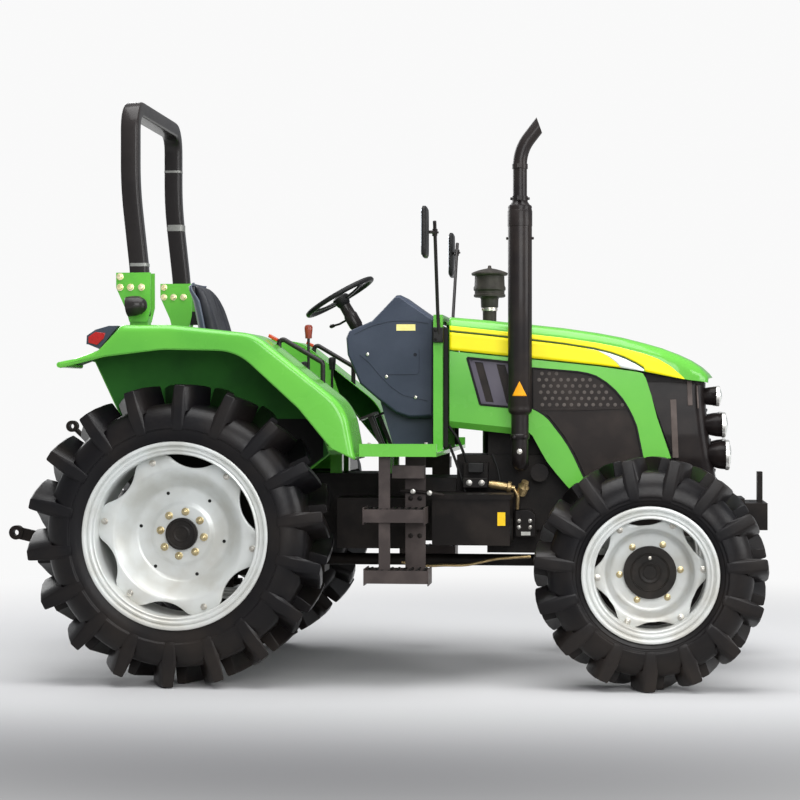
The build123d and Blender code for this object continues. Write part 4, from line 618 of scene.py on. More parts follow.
# Corners from the front foot to the tail: distance ahead of the rear axle, drop below the top, bend radius
FENDER_CORNERS = [
    (0.865, 0.641, 0), (0.818, 0.391, 0.240), (0.384, 0.044, 0.200), (-0.015, 0.0, 0.400),
    (-0.262, 0.0, 0.030), (-0.373, 0.119, 0.030), (-0.560, 0.185, 0),
]
LIP_CORNERS = [
    (0.762, 0.592, 0), (0.600, 0.395, 0.300), (0.300, 0.120, 0.260), (-0.060, 0.112, 0.400),
    (-0.345, 0.146, 0.05), (-0.560, 0.191, 0),
]


def curved(start, at, end, steps):
    """Points on a quadratic curve from one place to another: its ends lie along the lines to a corner."""
    share = np.linspace(0, 1, steps)[:, None]
    return list((1 - share) ** 2 * start + 2 * share * (1 - share) * at + share**2 * end)


def bent_line(corners, count):
    """Points spaced evenly along straight runs joined by curves. Each corner is (x, z, bend radius)."""
    spots = np.array([corner[:2] for corner in corners], float)
    path = [spots[0]]
    for before, at, after, (_, _, bend) in zip(spots, spots[1:], spots[2:], corners[1:-1]):
        into, onward = (at - before) / np.linalg.norm(at - before), (after - at) / np.linalg.norm(after - at)
        turn = np.arccos(np.clip(into @ onward, -1, 1))
        reach = bend * tan(turn / 2)
        path += curved(at - into * reach, at, at + onward * reach, 13)
    path = np.array(path + [spots[-1]])
    length = np.concatenate([[0], np.cumsum(np.linalg.norm(np.diff(path, axis=0), axis=1))])
    even = np.linspace(0, length[-1], count)
    return np.stack([np.interp(even, length, path[:, 0]), np.interp(even, length, path[:, 1])], axis=1)


def fender_line(corners, count=FENDER_ROWS, lower=0.0):
    """One of the fender's long lines as (x, z) points of the part, from its corners."""
    return bent_line(corners, count) * (1, -1) + (REAR_X, FENDER_TOP - lower)


def pressed_fender(side):
    """Rows run along the fender, columns across it: flat top, rolled corner, lip and inward hem."""
    top = fender_line(FENDER_CORNERS)
    down = fender_line(LIP_CORNERS) - top
    depth = np.linalg.norm(down, axis=1, keepdims=True)
    down = down / np.maximum(depth, 1e-6)
    roll = np.minimum(FENDER_ROLL, depth * 0.8)
    flat = FENDER_OUT - FENDER_ROLL
    columns = []
    for share in (0.0, 0.06, 0.35, 0.7, 0.955):
        columns.append(np.insert(top, 1, FENDER_IN + (flat - FENDER_IN) * share / 0.955, axis=1))
    for angle in np.radians([18, 36, 54, 72, 90]):
        sunk = top + down * roll * (1 - cos(angle))
        columns.append(np.insert(sunk, 1, flat + FENDER_ROLL * sin(angle), axis=1))
    for share, across in ((0.6, FENDER_OUT), (1.0, FENDER_OUT), (1.0, FENDER_OUT - 0.012)):
        columns.append(np.insert(top + down * np.maximum(depth * share, roll), 1, across, axis=1))
    grid = np.stack(columns, axis=1)
    grid[:, :, 1] *= side
    return skin(grid)


def rolled_edge(side):
    """The outer edge turned over a wire: a round bar along the lip, a little thicker toward the tail."""
    line = fender_line(LIP_CORNERS)
    way = heading(line)
    size = 0.0065 + 0.0085 * np.clip((REAR_X - 0.330 - line[:, 0]) / 0.20, 0, 1)
    turn = full_turn(12)
    rows = np.empty((FENDER_ROWS, 12, 3))
    rows[:, :, 0] = line[:, :1] - way[:, 1:] * size[:, None] * np.cos(turn)
    rows[:, :, 1] = side * (FENDER_OUT - 0.008 + size[:, None] * 0.5 * np.sin(turn))
    rows[:, :, 2] = line[:, 1:] + way[:, :1] * size[:, None] * np.cos(turn)
    return capped(rows)


def sheet_wall(thing, thickness, inward=-1):
    """Gives an open skin its metal thickness on the inner side."""
    wall = thing.modifiers.new("wall", "SOLIDIFY")
    wall.thickness = thickness
    wall.offset = inward
    return thing


def open_skin(name, shapes, material, body="chassis", replaces=(), soft_angle=35, toward=(0, 0, 1)):
    """A piece of open sheets, their faces turned so that most of each looks along a way."""
    thing = piece(name, shapes, material, body, soft_angle=soft_angle, replaces=replaces)
    mesh = thing.data
    normals = np.zeros(len(mesh.polygons) * 3)
    areas = np.zeros(len(mesh.polygons))
    mesh.polygons.foreach_get("normal", normals)
    mesh.polygons.foreach_get("area", areas)
    if (normals.reshape(-1, 3) @ np.array(toward) * areas).sum() < 0:
        mesh.flip_normals()
    return thing


WALL_FOOT = [(-0.485, 1.560), (-0.379, 1.337), (-0.200, 1.000), (0.560, 1.000), (0.693, 1.105)]
# Painted shade: the outline of a black sheet low on each wall's tyre side, for the dark seen through the
# rear wheel
SHADE_SHEET_OUTLINE = [(-0.335, 1.280), (-0.194, 1.008), (0.552, 1.008), (0.660, 1.094), (0.660, 1.280)]
for name, side in SIDE.items():
    sheet = open_skin(f"fender_skin_{name}", [pressed_fender(side)], green, replaces=[f"fender_{name}"])
    # The skin's underside takes the darker green as painted shade
    sheet.data.materials.append(green_painted_shade)
    sheet_wall(sheet, SHEET_STEEL).modifiers["wall"].material_offset = 1
    across = side * np.linspace(FENDER_IN, FENDER_OUT - 0.004, 8)
    tail_x, tail_z = REAR_X - 0.560, FENDER_TOP - 0.190
    hem = [[(tail_x + 0.014 * cos(t), y, tail_z + 0.014 * sin(t)) for t in full_turn(12)] for y in across]
    piece(f"fender_edge_{name}", [rolled_edge(side), capped(np.array(hem))], green)
    top = fender_line(FENDER_CORNERS, 90, lower=0.002)
    skin_y = FENDER_IN + SHEET_STEEL
    wall = slab(list(top[top[:, 1] > 1.56]) + ahead(WALL_FOOT), side * FENDER_IN, side * skin_y)
    piece(f"fender_wall_{name}", [wall], green, bevel=0.001)
    # A lining of the darker green on the wall's tyre side, as painted shade
    inner = [(x, z - 0.004) for x, z in top[top[:, 1] > 1.57]]
    inner += ahead([(x * 0.99, z + 0.004) for x, z in WALL_FOOT])
    piece(f"fender_shade_lining_{name}", [slab(inner, side * skin_y, side * (skin_y + 0.0012))], green_painted_shade)
    # A black sheet on the wall's tyre side, painted shade seen through the rear wheel's holes
    coat = plate(SHADE_SHEET_OUTLINE, side * (skin_y + 0.0012), side * (skin_y + 0.0030))
    piece(f"fender_shade_sheet_{name}", [coat], black_and_painted_shade)

# ------------------------------------------------------------------------------------ bonnet
# One deep-drawn steel lid, hinged at its rear edge, with rounded shoulders that fall away to the nose. A
# yellow flank, a dark coach line and a pale sweep at the front are laid on the paint.
YELLOW = (0.86, 0.74, 0.002, 1)
yellow = finish("yellow_band", YELLOW, (0.80, 0.66, 0.002, 1), 0.42, spread=0.05, grain=40, bump=0.01,
                specular=0.3)
dark_line = finish("coach_line", (0.035, 0.075, 0.012, 1), (0.05, 0.10, 0.02, 1), 0.4)
pale_sweep = finish("pale_sweep", (0.72, 0.76, 0.74, 1), (0.62, 0.68, 0.64, 1), 0.32, coat=0.3)
# Sections: distance ahead of the rear axle, half width, top and seam heights
LID_SECTIONS = np.array([
    (1.262, 0.345, 1.788, 1.622), (1.450, 0.339, 1.771, 1.602), (1.650, 0.331, 1.751, 1.582),
    (1.830, 0.325, 1.731, 1.564), (2.000, 0.317, 1.706, 1.546), (2.120, 0.312, 1.683, 1.531),
    (2.230, 0.306, 1.655, 1.513), (2.320, 0.299, 1.629, 1.495), (2.400, 0.290, 1.597, 1.479),
    (2.460, 0.277, 1.566, 1.470), (2.505, 0.260, 1.532, 1.465), (2.534, 0.240, 1.500, 1.461),
    (2.546, 0.222, 1.480, 1.459),
])
LID_CORNER = 0.068
LID_SHEET = 0.0035


def lid_section(x):
    """Half width, top and seam heights of the bonnet at a distance ahead of the rear axle."""
    return [np.interp(x, LID_SECTIONS[:, 0], LID_SECTIONS[:, k]) for k in (1, 2, 3)]


def lid_corner(x):
    """The shoulder's radius, which shrinks where the nose gets shallow."""
    _, top, seam = lid_section(x)
    return np.minimum(LID_CORNER, (top - seam) * 0.72)


def lid_side(x, z):
    """How far out the bonnet's side is at a place: the half width, less where the shoulder turns in."""
    half, top, _ = lid_section(x)
    corner = lid_corner(x)
    above = np.clip(z - (top - corner), 0, corner * 0.985)
    return half - corner + np.sqrt(corner**2 - above**2)


def nose_bulge(x, y):
    """How much further forward the nose is near the middle: it grows over the last quarter metre."""
    half = lid_section(x)[0]
    return 0.030 * np.clip((x - 2.30) / 0.246, 0, 1) ** 2 * (1 - (y / half) ** 2)


def bonnet_skin():
    """Rows along the lid, columns from one seam up round a shoulder, over a slight crown and down again."""
    x = np.concatenate([np.linspace(1.262, 2.40, 60), np.linspace(2.41, 2.546, 26)])
    half, top, seam = lid_section(x)
    corner = lid_corner(x)
    across, height = [half, half, half], [seam, seam + 0.003, top - corner]
    for angle in np.radians(np.linspace(15, 90, 7)):
        across.append(half - corner * (1 - cos(angle)))
        height.append(top - corner * (1 - sin(angle)))
    for share in (0.75, 0.5, 0.25):
        across.append((half - corner) * share)
        height.append(top + 0.006 * (1 - share**2))
    across, height = np.stack(across, 1), np.stack(height, 1)
    middle = np.stack([0 * x, top + 0.006], 1)
    grid_y = np.concatenate([-across, middle[:, :1], across[:, ::-1]], 1)
    grid_z = np.concatenate([height, middle[:, 1:], height[:, ::-1]], 1)
    grid_x = np.repeat(x[:, None], grid_y.shape[1], axis=1) + nose_bulge(x[:, None], grid_y)
    return skin(np.stack([grid_x + REAR_X, grid_y, grid_z], axis=-1))


def on_flank(x, low, high, side, proud, rows=5):
    """A strip laid on the bonnet's side between two lines of height, a hair proud of the paint."""
    share = np.linspace(0, 1, rows)[None, :]
    z = low[:, None] * (1 - share) + high[:, None] * share
    y = np.stack([lid_side(x, z[:, k]) + proud for k in range(rows)], axis=1)
    return skin(np.stack([np.repeat(x[:, None], rows, 1) + REAR_X, side * y, z], axis=-1))


lid = open_skin("bonnet_lid_skin", [bonnet_skin()], green, "bonnet_lid", replaces=["bonnet"],
                soft_angle=60)
sheet_wall(lid, LID_SHEET)
# Lines on the flank: distance ahead of the axle with the heights of the band's top and of the coach line
BAND_TOP = np.array([
    (1.264, 1.743), (1.45, 1.722), (1.65, 1.701), (1.83, 1.680), (2.00, 1.655), (2.12, 1.630), (2.23, 1.601),
    (2.30, 1.574), (2.36, 1.538), (2.405, 1.499), (2.428, 1.477),
])
COACH_LINE = np.array([
    (1.264, 1.716), (1.45, 1.697), (1.65, 1.674), (1.83, 1.652), (1.98, 1.628), (2.06, 1.608), (2.13, 1.583),
    (2.19, 1.553), (2.235, 1.524),
])
SWEEP = np.array([(1.94, 1.640), (2.00, 1.618), (2.05, 1.590), (2.09, 1.560), (2.112, 1.534)])
LINE = 0.0045
for name, side in SIDE.items():
    outward = (0, side, 0.1)
    span = np.linspace(1.265, 2.228, 90)
    seam = lid_section(span)[2] + 0.001
    line = np.interp(span, *COACH_LINE.T)
    flank = on_flank(span, seam, np.maximum(line - LINE, seam + 0.0005), side, 0.0006, rows=7)
    band_span = np.linspace(1.265, 2.427, 110)
    lower = np.interp(band_span, *COACH_LINE.T) + LINE
    floor_line = lid_section(band_span)[2] + 0.001
    lower = np.where(band_span > 2.235, floor_line, np.maximum(lower, floor_line))
    upper = np.maximum(np.interp(band_span, *BAND_TOP.T), lower + 0.001)
    band = on_flank(band_span, lower, upper, side, 0.0006, rows=7)
    sheet = open_skin(f"bonnet_yellow_{name}", [flank, band], yellow, "bonnet_lid", toward=outward)
    sheet_wall(sheet, 0.0005)
    coach = on_flank(span, np.maximum(line - LINE, seam), np.maximum(line + LINE, seam + 0.001), side,
                     0.0012, rows=3)
    sheet_wall(open_skin(f"bonnet_line_{name}", [coach], dark_line, "bonnet_lid", toward=outward), 0.0005)
    sweep_span = np.linspace(1.945, 2.226, 40)
    sweep_top = np.interp(sweep_span, *COACH_LINE.T) - LINE
    sweep_low = np.interp(sweep_span, *SWEEP.T)
    sweep_low = np.where(sweep_span > 2.112, lid_section(sweep_span)[2] + 0.001, sweep_low)
    sweep = on_flank(sweep_span, np.minimum(sweep_low, sweep_top - 0.001), sweep_top, side, 0.0012)
    sheet_wall(open_skin(f"bonnet_sweep_{name}", [sweep], pale_sweep, "bonnet_lid", toward=outward), 0.0005)

# ------------------------------------------------------------------------------------ side panels
# Painted steel panels under the bonnet. Each has a slanted vent with upright slats near its rear, and a long
# opening closed by a black perforated screen. Its lower rear edge is folded inward.
PANEL_TAPER = [(1.262, 0.345), (2.360, 0.300)]
PANEL_THICK = 0.014
PANEL_EDGE = [
    (1.264, 1.616), (1.675, 1.574), (2.000, 1.540), (2.200, 1.511), (2.222, 1.504), (2.236, 1.480),
    (2.262, 1.400), (2.290, 1.290), (2.360, 1.084), (2.222, 1.080), (2.190, 1.240), (2.170, 1.290),
    (2.150, 1.330), (2.120, 1.378), (2.084, 1.420), (2.040, 1.459), (1.990, 1.490), (1.950, 1.503),
    (1.900, 1.512), (1.676, 1.532), (1.676, 1.330), (1.705, 1.318), (1.733, 1.300), (1.760, 1.276),
    (1.823, 1.194), (1.853, 1.149), (1.880, 1.100), (1.934, 0.984), (1.864, 0.926), (1.800, 1.000),
    (1.750, 1.064), (1.718, 1.118), (1.676, 1.196), (1.576, 1.203), (1.264, 1.236),
]
SCREEN_EDGE = [
    (1.668, 1.538), (1.900, 1.520), (1.996, 1.498), (2.050, 1.464), (2.092, 1.427), (2.130, 1.380),
    (2.160, 1.334), (2.198, 1.241), (2.230, 1.078), (1.990, 0.962), (1.940, 0.986), (1.888, 1.102),
    (1.830, 1.198), (1.758, 1.290), (1.668, 1.338),
]
FOLD = [(1.264, 1.268), (1.640, 1.228)]
FOLD_IN = 0.024
VENT = [(1.352, 1.583), (1.640, 1.552), (1.640, 1.330), (1.417, 1.350)]
screen_black = finish("screen_black", (0.012, 0.0085, 0.0075, 1), (0.023, 0.0165, 0.0140, 1), 0.34, patch=8,
                      grain=150, bump=0.1)
screen_dot = finish("screen_dot", (0.075, 0.064, 0.058, 1), (0.110, 0.095, 0.086, 1), 0.5, patch=12)
vent_grey = finish("vent_grey", (0.090, 0.080, 0.105, 1), (0.120, 0.110, 0.135, 1), 0.45)
black_seal = finish("black_seal", (0.0065, 0.0065, 0.0065, 1), (0.013, 0.012, 0.0115, 1), 0.55, grain=120,
                    bump=0.2)


def panel_half(x):
    """Half width over the side panels at a distance ahead of the rear axle."""
    (x0, w0), (x1, w1) = PANEL_TAPER
    return w0 + (w1 - w0) * (x - x0) / (x1 - x0)


def panel_plate(outline, side, inset, thickness):
    """A plate cut to an outline of (x, z) points that follows the tapering side of the engine bay."""
    flat = np.array(outline, float)
    rows = []
    for depth in (inset, inset + thickness):
        y = side * (panel_half(flat[:, 0]) - depth)
        rows.append(np.stack([flat[:, 0] + REAR_X, y, flat[:, 1]], axis=1))
    return capped(np.stack(rows))


def panel_strip(line, width, side, inset, thickness):
    """A flat strip centred on a run of (x, z) points, which follows the panel's taper."""
    spots = np.array(line, float)
    way = heading(spots)
    across = np.stack([-way[:, 1], way[:, 0]], axis=1) * width / 2
    outline = np.concatenate([spots + across, (spots - across)[::-1]])
    return panel_plate(outline, side, inset, thickness)


def inside(outline, spots):
    """Which (x, z) points lie inside an outline, by counting the edges that each one's ray crosses."""
    x, z = spots[:, 0], spots[:, 1]
    within = np.zeros(len(spots), bool)
    for (x0, z0), (x1, z1) in zip(outline, outline[1:] + outline[:1]):
        crosses = ((z0 > z) != (z1 > z)) & (x < (x1 - x0) * (z - z0) / (z1 - z0 + 1e-12) + x0)
        within ^= crosses
    return within


def folded_foot(side):
    """The panel's lower edge, folded inward: its section runs from the fold down to a foot further in."""
    x = np.linspace(FOLD[0][0], FOLD[1][0], 20)
    high = np.interp(x, *np.array(FOLD).T)
    low = np.interp(x, (1.264, 1.576, 1.640), (1.236, 1.203, 1.199))
    rows = []
    for depth, z in ((0.0, high), (FOLD_IN, low), (FOLD_IN + 0.010, low + 0.001), (PANEL_THICK, high)):
        rows.append(np.stack([x + REAR_X, side * (panel_half(x) - depth), z], axis=1))
    return capped(np.stack(rows, axis=1))


# The panel's sheet, as four outlines that meet round the vent
VENT_TOP_REAR, VENT_TOP_FRONT, VENT_FOOT = (1.352, 1.607), (1.640, 1.5345), (1.417, 1.2515)
PANEL_SHEET = [
    PANEL_EDGE[1:20] + [VENT_TOP_FRONT, VENT[1], VENT[0], VENT_TOP_REAR],
    [PANEL_EDGE[0], VENT_TOP_REAR, VENT[0], VENT[3], VENT_FOOT, FOLD[0]],
    [VENT[3], VENT[2], FOLD[1], VENT_FOOT],
    [VENT[1], VENT_TOP_FRONT] + PANEL_EDGE[19:-2] + [FOLD[1], VENT[2]],
]
for name, side in SIDE.items():
    strips = [panel_plate(outline, side, 0, PANEL_THICK) for outline in PANEL_SHEET] + [folded_foot(side)]
    panel = piece(f"side_panel_{name}", strips, green, replaces=["side_panels"])
    weld = panel.modifiers.new("weld", "WELD")
    weld.merge_threshold = 0.0004
    seal = panel_strip(PANEL_EDGE[9:28], 0.010, side, -0.0012, 0.008)
    leg_seal = panel_strip([(1.676, 1.532), (1.676, 1.330)], 0.010, side, -0.0012, 0.008)
    vent_loop = VENT + VENT[:1]
    rims = [panel_strip([a, b], 0.011, side, -0.003, 0.012) for a, b in zip(vent_loop, vent_loop[1:])]
    piece(f"panel_seals_{name}", [seal, leg_seal] + rims, black_seal, bevel=0.0015)

    screen = panel_plate(SCREEN_EDGE, side, 0.010, 0.004)
    bar = panel_strip([(1.70, 1.325), (1.90, 1.325), (2.15, 1.335)], 0.012, side, 0.005, 0.008)
    piece(f"side_screen_{name}", [screen, bar], screen_black, replaces=["side_screens"],
          bevel=0.001)
    spots = [(1.665 + 0.036 * column + 0.018 * (row % 2) + 0.004 * row, 1.535 - 0.031 * row)
             for row in np.arange(-2, 12) for column in np.arange(-2, 18)]
    spots = np.array(spots)
    room = [(1.69, 1.515), (1.90, 1.495), (1.985, 1.472), (2.07, 1.405), (2.13, 1.345), (1.72, 1.345)]
    kept = spots[inside(room, spots)]
    places = [(x + REAR_X, side * (panel_half(x) - 0.0095), z) for x, z in kept]
    piece(f"screen_dots_{name}", round_studs(places, (0, side, 0), 0.0090, 0.0014, sides=16), screen_dot)
    slat_shapes = [panel_plate(edge, side, depth, 0.004) for edge, depth in (
        ([(1.352, 1.583), (1.384, 1.580), (1.450, 1.346), (1.417, 1.350)], 0.008),
        ([(1.424, 1.576), (1.492, 1.569), (1.552, 1.339), (1.488, 1.343)], 0.008),
        ([(1.537, 1.564), (1.640, 1.552), (1.640, 1.330), (1.598, 1.334)], 0.008),
    )]
    frame_loop = [(1.368, 1.573), (1.640, 1.544), (1.640, 1.338), (1.424, 1.357), (1.368, 1.573)]
    for run in zip(frame_loop, frame_loop[1:]):
        slat_shapes.append(panel_strip(run, 0.017, side, 0.0078, 0.004))
    behind = [(1.345, 1.590), (1.650, 1.560), (1.650, 1.322), (1.410, 1.342)]
    backing = panel_plate(behind, side, 0.020, 0.004)
    piece(f"vent_slats_{name}", slat_shapes, vent_grey, bevel=0.001)
    piece(f"vent_backing_{name}", [backing], screen_black)

# ------------------------------------------------------------------------------------ grille
# A black moulded nose between the panels, with slanted bars and a stack of three round lamps on each side.
# Sections from the top down: height, rear and front distances ahead of the axle, half width
GRILLE = np.array([
    (1.460, 2.236, 2.532, 0.222), (1.400, 2.260, 2.530, 0.232), (1.330, 2.285, 2.534, 0.238),
    (1.200, 2.330, 2.548, 0.245), (1.085, 2.375, 2.566, 0.245), (1.010, 2.450, 2.578, 0.238),
    (0.968, 2.520, 2.585, 0.226),
])
grille_black = finish("grille_black", (0.0090, 0.0070, 0.0070, 1), (0.017, 0.013, 0.012, 1), 0.30,
                      spread=0.07, patch=9, grain=160, bump=0.06, coat=0.04, specular=0.10)
lamp_rim = finish("lamp_rim", (0.78, 0.77, 0.74, 1), (0.62, 0.61, 0.58, 1), 0.22, metal=0.7)


def grille_shell(rows=46, corner=0.062, columns=9):
    """Closed sections stacked from the top down: square at the rear, with rounded front corners."""
    z = np.linspace(GRILLE[0, 0], GRILLE[-1, 0], rows)
    rear, front, half = [np.interp(-z, -GRILLE[:, 0], GRILLE[:, k]) for k in (1, 2, 3)]
    rings = []
    for zk, r, f, h in zip(z, rear, front, half):
        bend = min(corner, (f - r) * 0.6)
        ring = [(r, -h)]
        for angle in np.linspace(0, pi / 2, columns):
            ring.append((f - bend + bend * sin(angle), -h + bend - bend * cos(angle)))
        ring += [(f + 0.006, -h * 0.45), (f + 0.008, 0.0), (f + 0.006, h * 0.45)]
        for angle in np.linspace(pi / 2, 0, columns):
            ring.append((f - bend + bend * sin(angle), h - bend + bend * cos(angle)))
        ring.append((r, h))
        rings.append([(REAR_X + px, py, zk) for px, py in ring])
    return capped(np.array(rings))


def grille_at(z):
    """Front distance ahead of the axle and half width of the nose at a height."""
    return np.interp(-z, -GRILLE[:, 0], GRILLE[:, 2]), np.interp(-z, -GRILLE[:, 0], GRILLE[:, 3])


def square_tube(path, width, depth, up=(0, 0, 1)):
    """A square bar swept along points: each row is square to the run, with its width across an up way."""
    path = np.array(path, float)
    way = heading(path)
    across = np.cross(way, np.array(up, float))
    across /= np.linalg.norm(across, axis=1, keepdims=True)
    over = np.cross(across, way)
    rows = [path + across * a * width / 2 + over * b * depth / 2
            for a, b in ((-1, -1), (1, -1), (1, 1), (-1, 1))]
    return capped(np.stack(rows, axis=1))


# Slanted strips on the nose's sides: top place, foot place, width. Each place is ahead of the axle, height
NOSE_STRIPS = [
    ((2.372, 1.375), (2.384, 1.085), 0.030), ((2.452, 1.470), (2.456, 1.345), 0.024),
    ((2.490, 1.445), (2.496, 1.330), 0.008),
]
SHOULDER = [
    (2.180, 1.528), (2.240, 1.540), (2.330, 1.520), (2.420, 1.500), (2.500, 1.478), (2.515, 1.450),
    (2.262, 1.450), (2.312, 1.300), (2.362, 1.160), (2.420, 1.060), (2.330, 1.060), (2.250, 1.200),
    (2.200, 1.360),
]
bars, strips, shoulders = [], [], []
for z in np.linspace(1.425, 1.02, 9):
    front, half = grille_at(z)
    across = np.linspace(-1, 1, 15)
    run = [(front + 0.010 - 0.020 * y * y, y * (half - 0.075), z - 0.012 * abs(y)) for y in across]
    bars.append(square_tube(ahead(run), 0.012, 0.010))
for side in SIDE.values():
    for (x0, z0), (x1, z1), width in NOSE_STRIPS:
        run = []
        for t in np.linspace(0, 1, 9):
            z = z0 + (z1 - z0) * t
            run.append((x0 + (x1 - x0) * t, side * (grille_at(z)[1] + 0.0015), z))
        strips.append(square_tube(ahead(run), 0.006, width, up=(1, 0, 0)))
    shoulders.append(plate(SHOULDER, side * 0.206, side * 0.2205))
piece("grille_shoulders", shoulders, grille_black, bevel=0.002)
piece("grille_nose", [grille_shell()], grille_black, replaces=["grille"], soft_angle=30)
piece("grille_bars", bars, grille_black, bevel=0.002)
strip_brown = finish("grille_strip", (0.075, 0.058, 0.052, 1), (0.105, 0.084, 0.076, 1), 0.45, patch=14)
piece("grille_side_strips", strips, strip_brown, bevel=0.0015)

# Three lamps on each side: distance ahead of the axle, distance from the middle, height, radius
LAMPS = [(2.588, 0.166, 1.392, 0.047), (2.616, 0.176, 1.248, 0.060), (2.634, 0.178, 1.098, 0.072)]
lens_glass = finish("lens_glass", (0.62, 0.64, 0.62, 1), (0.50, 0.53, 0.52, 1), 0.10, metal=0.35, patch=20,
                    grain=300, bump=0.15, coat=0.8)


def turned_x(profile, centre, closed=True):
    """A profile of (forward offset, radius) pairs turned about a lengthwise line."""
    return spun(profile, centre, (1, 0, 0), (0, 1, 0), (0, 0, 1), 48, closed)


for name, side in SIDE.items():
    cups, rims, lenses = [], [], []
    for x, y, z, r in LAMPS:
        centre = (REAR_X + x, side * y, z)
        cup = [(-0.095, 0.0), (-0.095, r * 0.62), (-0.060, r * 0.86), (-0.030, r * 0.96), (-0.004, r),
               (0.000, r + 0.003), (0.012, r + 0.003), (0.017, r), (0.016, r - 0.004), (0.006, r - 0.006),
               (0.006, 0.0)]
        cups.append(turned_x(cup, centre, closed=False))
        rims.append(turned_x([(-0.001, r + 0.0005), (-0.001, r + 0.0040), (0.013, r + 0.0040), (0.018, r),
                              (0.0180, r - 0.007), (0.012, r - 0.009), (0.010, r - 0.004)], centre))
        dome = [(0.012 + 0.016 * cos(a), (r - 0.007) * sin(a)) for a in np.linspace(pi / 2, 0.12, 9)]
        lens = [(0.008, 0.0), (0.008, r - 0.007)] + dome + [(0.028, 0.0)]
        lenses.append(turned_x(lens, centre, closed=False))
    piece(f"headlamp_cups_{name}", cups, grille_black, replaces=["headlamps"])
    piece(f"headlamp_rims_{name}", rims, lamp_rim)
    piece(f"headlamp_lenses_{name}", lenses, lens_glass)

# ------------------------------------------------------------------------------------ roll bar
# One bent rectangular steel tube, satin black, that stands in clamp brackets on the axle, with thin grey
# clips round it. Each green bracket is a pair of plates, pulled together by four gold-passivated bolts.
satin_black = finish("satin_black", (0.0115, 0.0098, 0.0100, 1), (0.020, 0.017, 0.0165, 1), 0.32, patch=3,
                     grain=140, bump=0.06, coat=0.15)
clip_grey = finish("clip_grey", (0.20, 0.20, 0.19, 1), (0.30, 0.30, 0.29, 1), 0.4, metal=0.4)
ROPS_HALF_Y, ROPS_TOP = 0.500, 2.873
ROPS_TUBE = (0.090, 0.076)


def rounded_path(points, bend, steps=8):
    """Points along straight runs with rounded corners: each corner's curve starts and ends a bend's reach
    away from it."""
    spots = np.array(points, float)
    path = [spots[0]]
    for before, at, after in zip(spots, spots[1:], spots[2:]):
        into, onward = at - before, after - at
        reach = min(bend, np.linalg.norm(into) * 0.48, np.linalg.norm(onward) * 0.48)
        start = at - into / np.linalg.norm(into) * reach
        end = at + onward / np.linalg.norm(onward) * reach
        path += curved(start, at, end, steps)
    return np.array(path + [spots[-1]])


def rounded_box_row(half_a, half_b, corner, steps=4):
    """A rounded rectangle's outline as (a, b) pairs."""
    row = []
    for quarter, (ca, cb) in enumerate([(1, 1), (-1, 1), (-1, -1), (1, -1)]):
        for angle in np.linspace(0, pi / 2, steps):
            turn = angle + quarter * pi / 2
            row.append((ca * (half_a - corner) + corner * cos(turn),
                        cb * (half_b - corner) + corner * sin(turn)))
    return np.array(row)


def swept(path, row, first_way):
    """A section swept along a path. Its first axis stays as near as it can to one way."""
    path = np.asarray(path, float)
    way = heading(path)
    fixed = np.array(first_way, float)
    a = fixed - way * (way @ fixed)[:, None]
    a /= np.linalg.norm(a, axis=1, keepdims=True)
    b = np.cross(way, a)
    grid = path[:, None] + a[:, None] * row[None, :, :1] + b[:, None] * row[None, :, 1:]
    return capped(grid)


def round_row(radius, sides):
    """A circle's outline as (a, b) pairs."""
    turn = full_turn(sides)
    return np.stack([np.cos(turn), np.sin(turn)], axis=1) * radius


def tube(path, radius, sides=16):
    """A round bar or pipe along a path that never runs straight along both X and Y at once."""
    path = np.asarray(path, float)
    run = path[-1] - path[0]
    upright = abs(run[2]) >= 0.6 * np.linalg.norm(run)
    return swept(path, round_row(radius, sides), (1, 0, 0) if upright else (0, 0, 1))


top_z = ROPS_TOP - ROPS_TUBE[1] / 2
half_bar = [(-0.268, -ROPS_HALF_Y, 1.790), (-0.268, -ROPS_HALF_Y, 1.980), (-0.318, -ROPS_HALF_Y, 2.430),
            (-0.318, -ROPS_HALF_Y, top_z)]
whole = half_bar + [(x, -y, z) for x, y, z in half_bar[::-1]]
bar_path = rounded_path(ahead(whole), 0.125, steps=12)
piece("roll_bar", [swept(bar_path, rounded_box_row(ROPS_TUBE[0] / 2, ROPS_TUBE[1] / 2, 0.014), (1, 0, 0))],
      satin_black, replaces=["rops"])


def post_clip(x, y, z, width):
    """A thin band round a post of the roll bar."""
    row = rounded_box_row(ROPS_TUBE[0] / 2 + 0.0012, ROPS_TUBE[1] / 2 + 0.0012, 0.015)
    return swept(ahead([(x, y, z - width / 2), (x, y, z), (x, y, z + width / 2)]), row, (1, 0, 0))


clips = [post_clip(-0.2735, -ROPS_HALF_Y, 2.045, 0.016), post_clip(-0.3035, ROPS_HALF_Y, 2.310, 0.034),
         post_clip(-0.3180, ROPS_HALF_Y, 2.617, 0.012)]
piece("roll_bar_clips", clips, clip_grey)
BRACKET_BOLTS = [(-0.360, 1.985), (-0.360, 1.932), (-0.307, 1.932), (-0.252, 1.932)]
bracket_bolts = []
for side in SIDE.values():
    for y, out in ((side * 0.550, side), (side * 0.450, -side)):
        places = ahead([(x, y, z) for x, z in BRACKET_BOLTS])
        bracket_bolts += hex_heads(places, (0, out, 0), 0.0135, 0.013)
gold = finish("bolt_gold", (0.86, 0.76, 0.42, 1), (0.90, 0.84, 0.60, 1), 0.28, metal=0.7, patch=40)
piece("rops_bracket_bolts", bracket_bolts, gold)

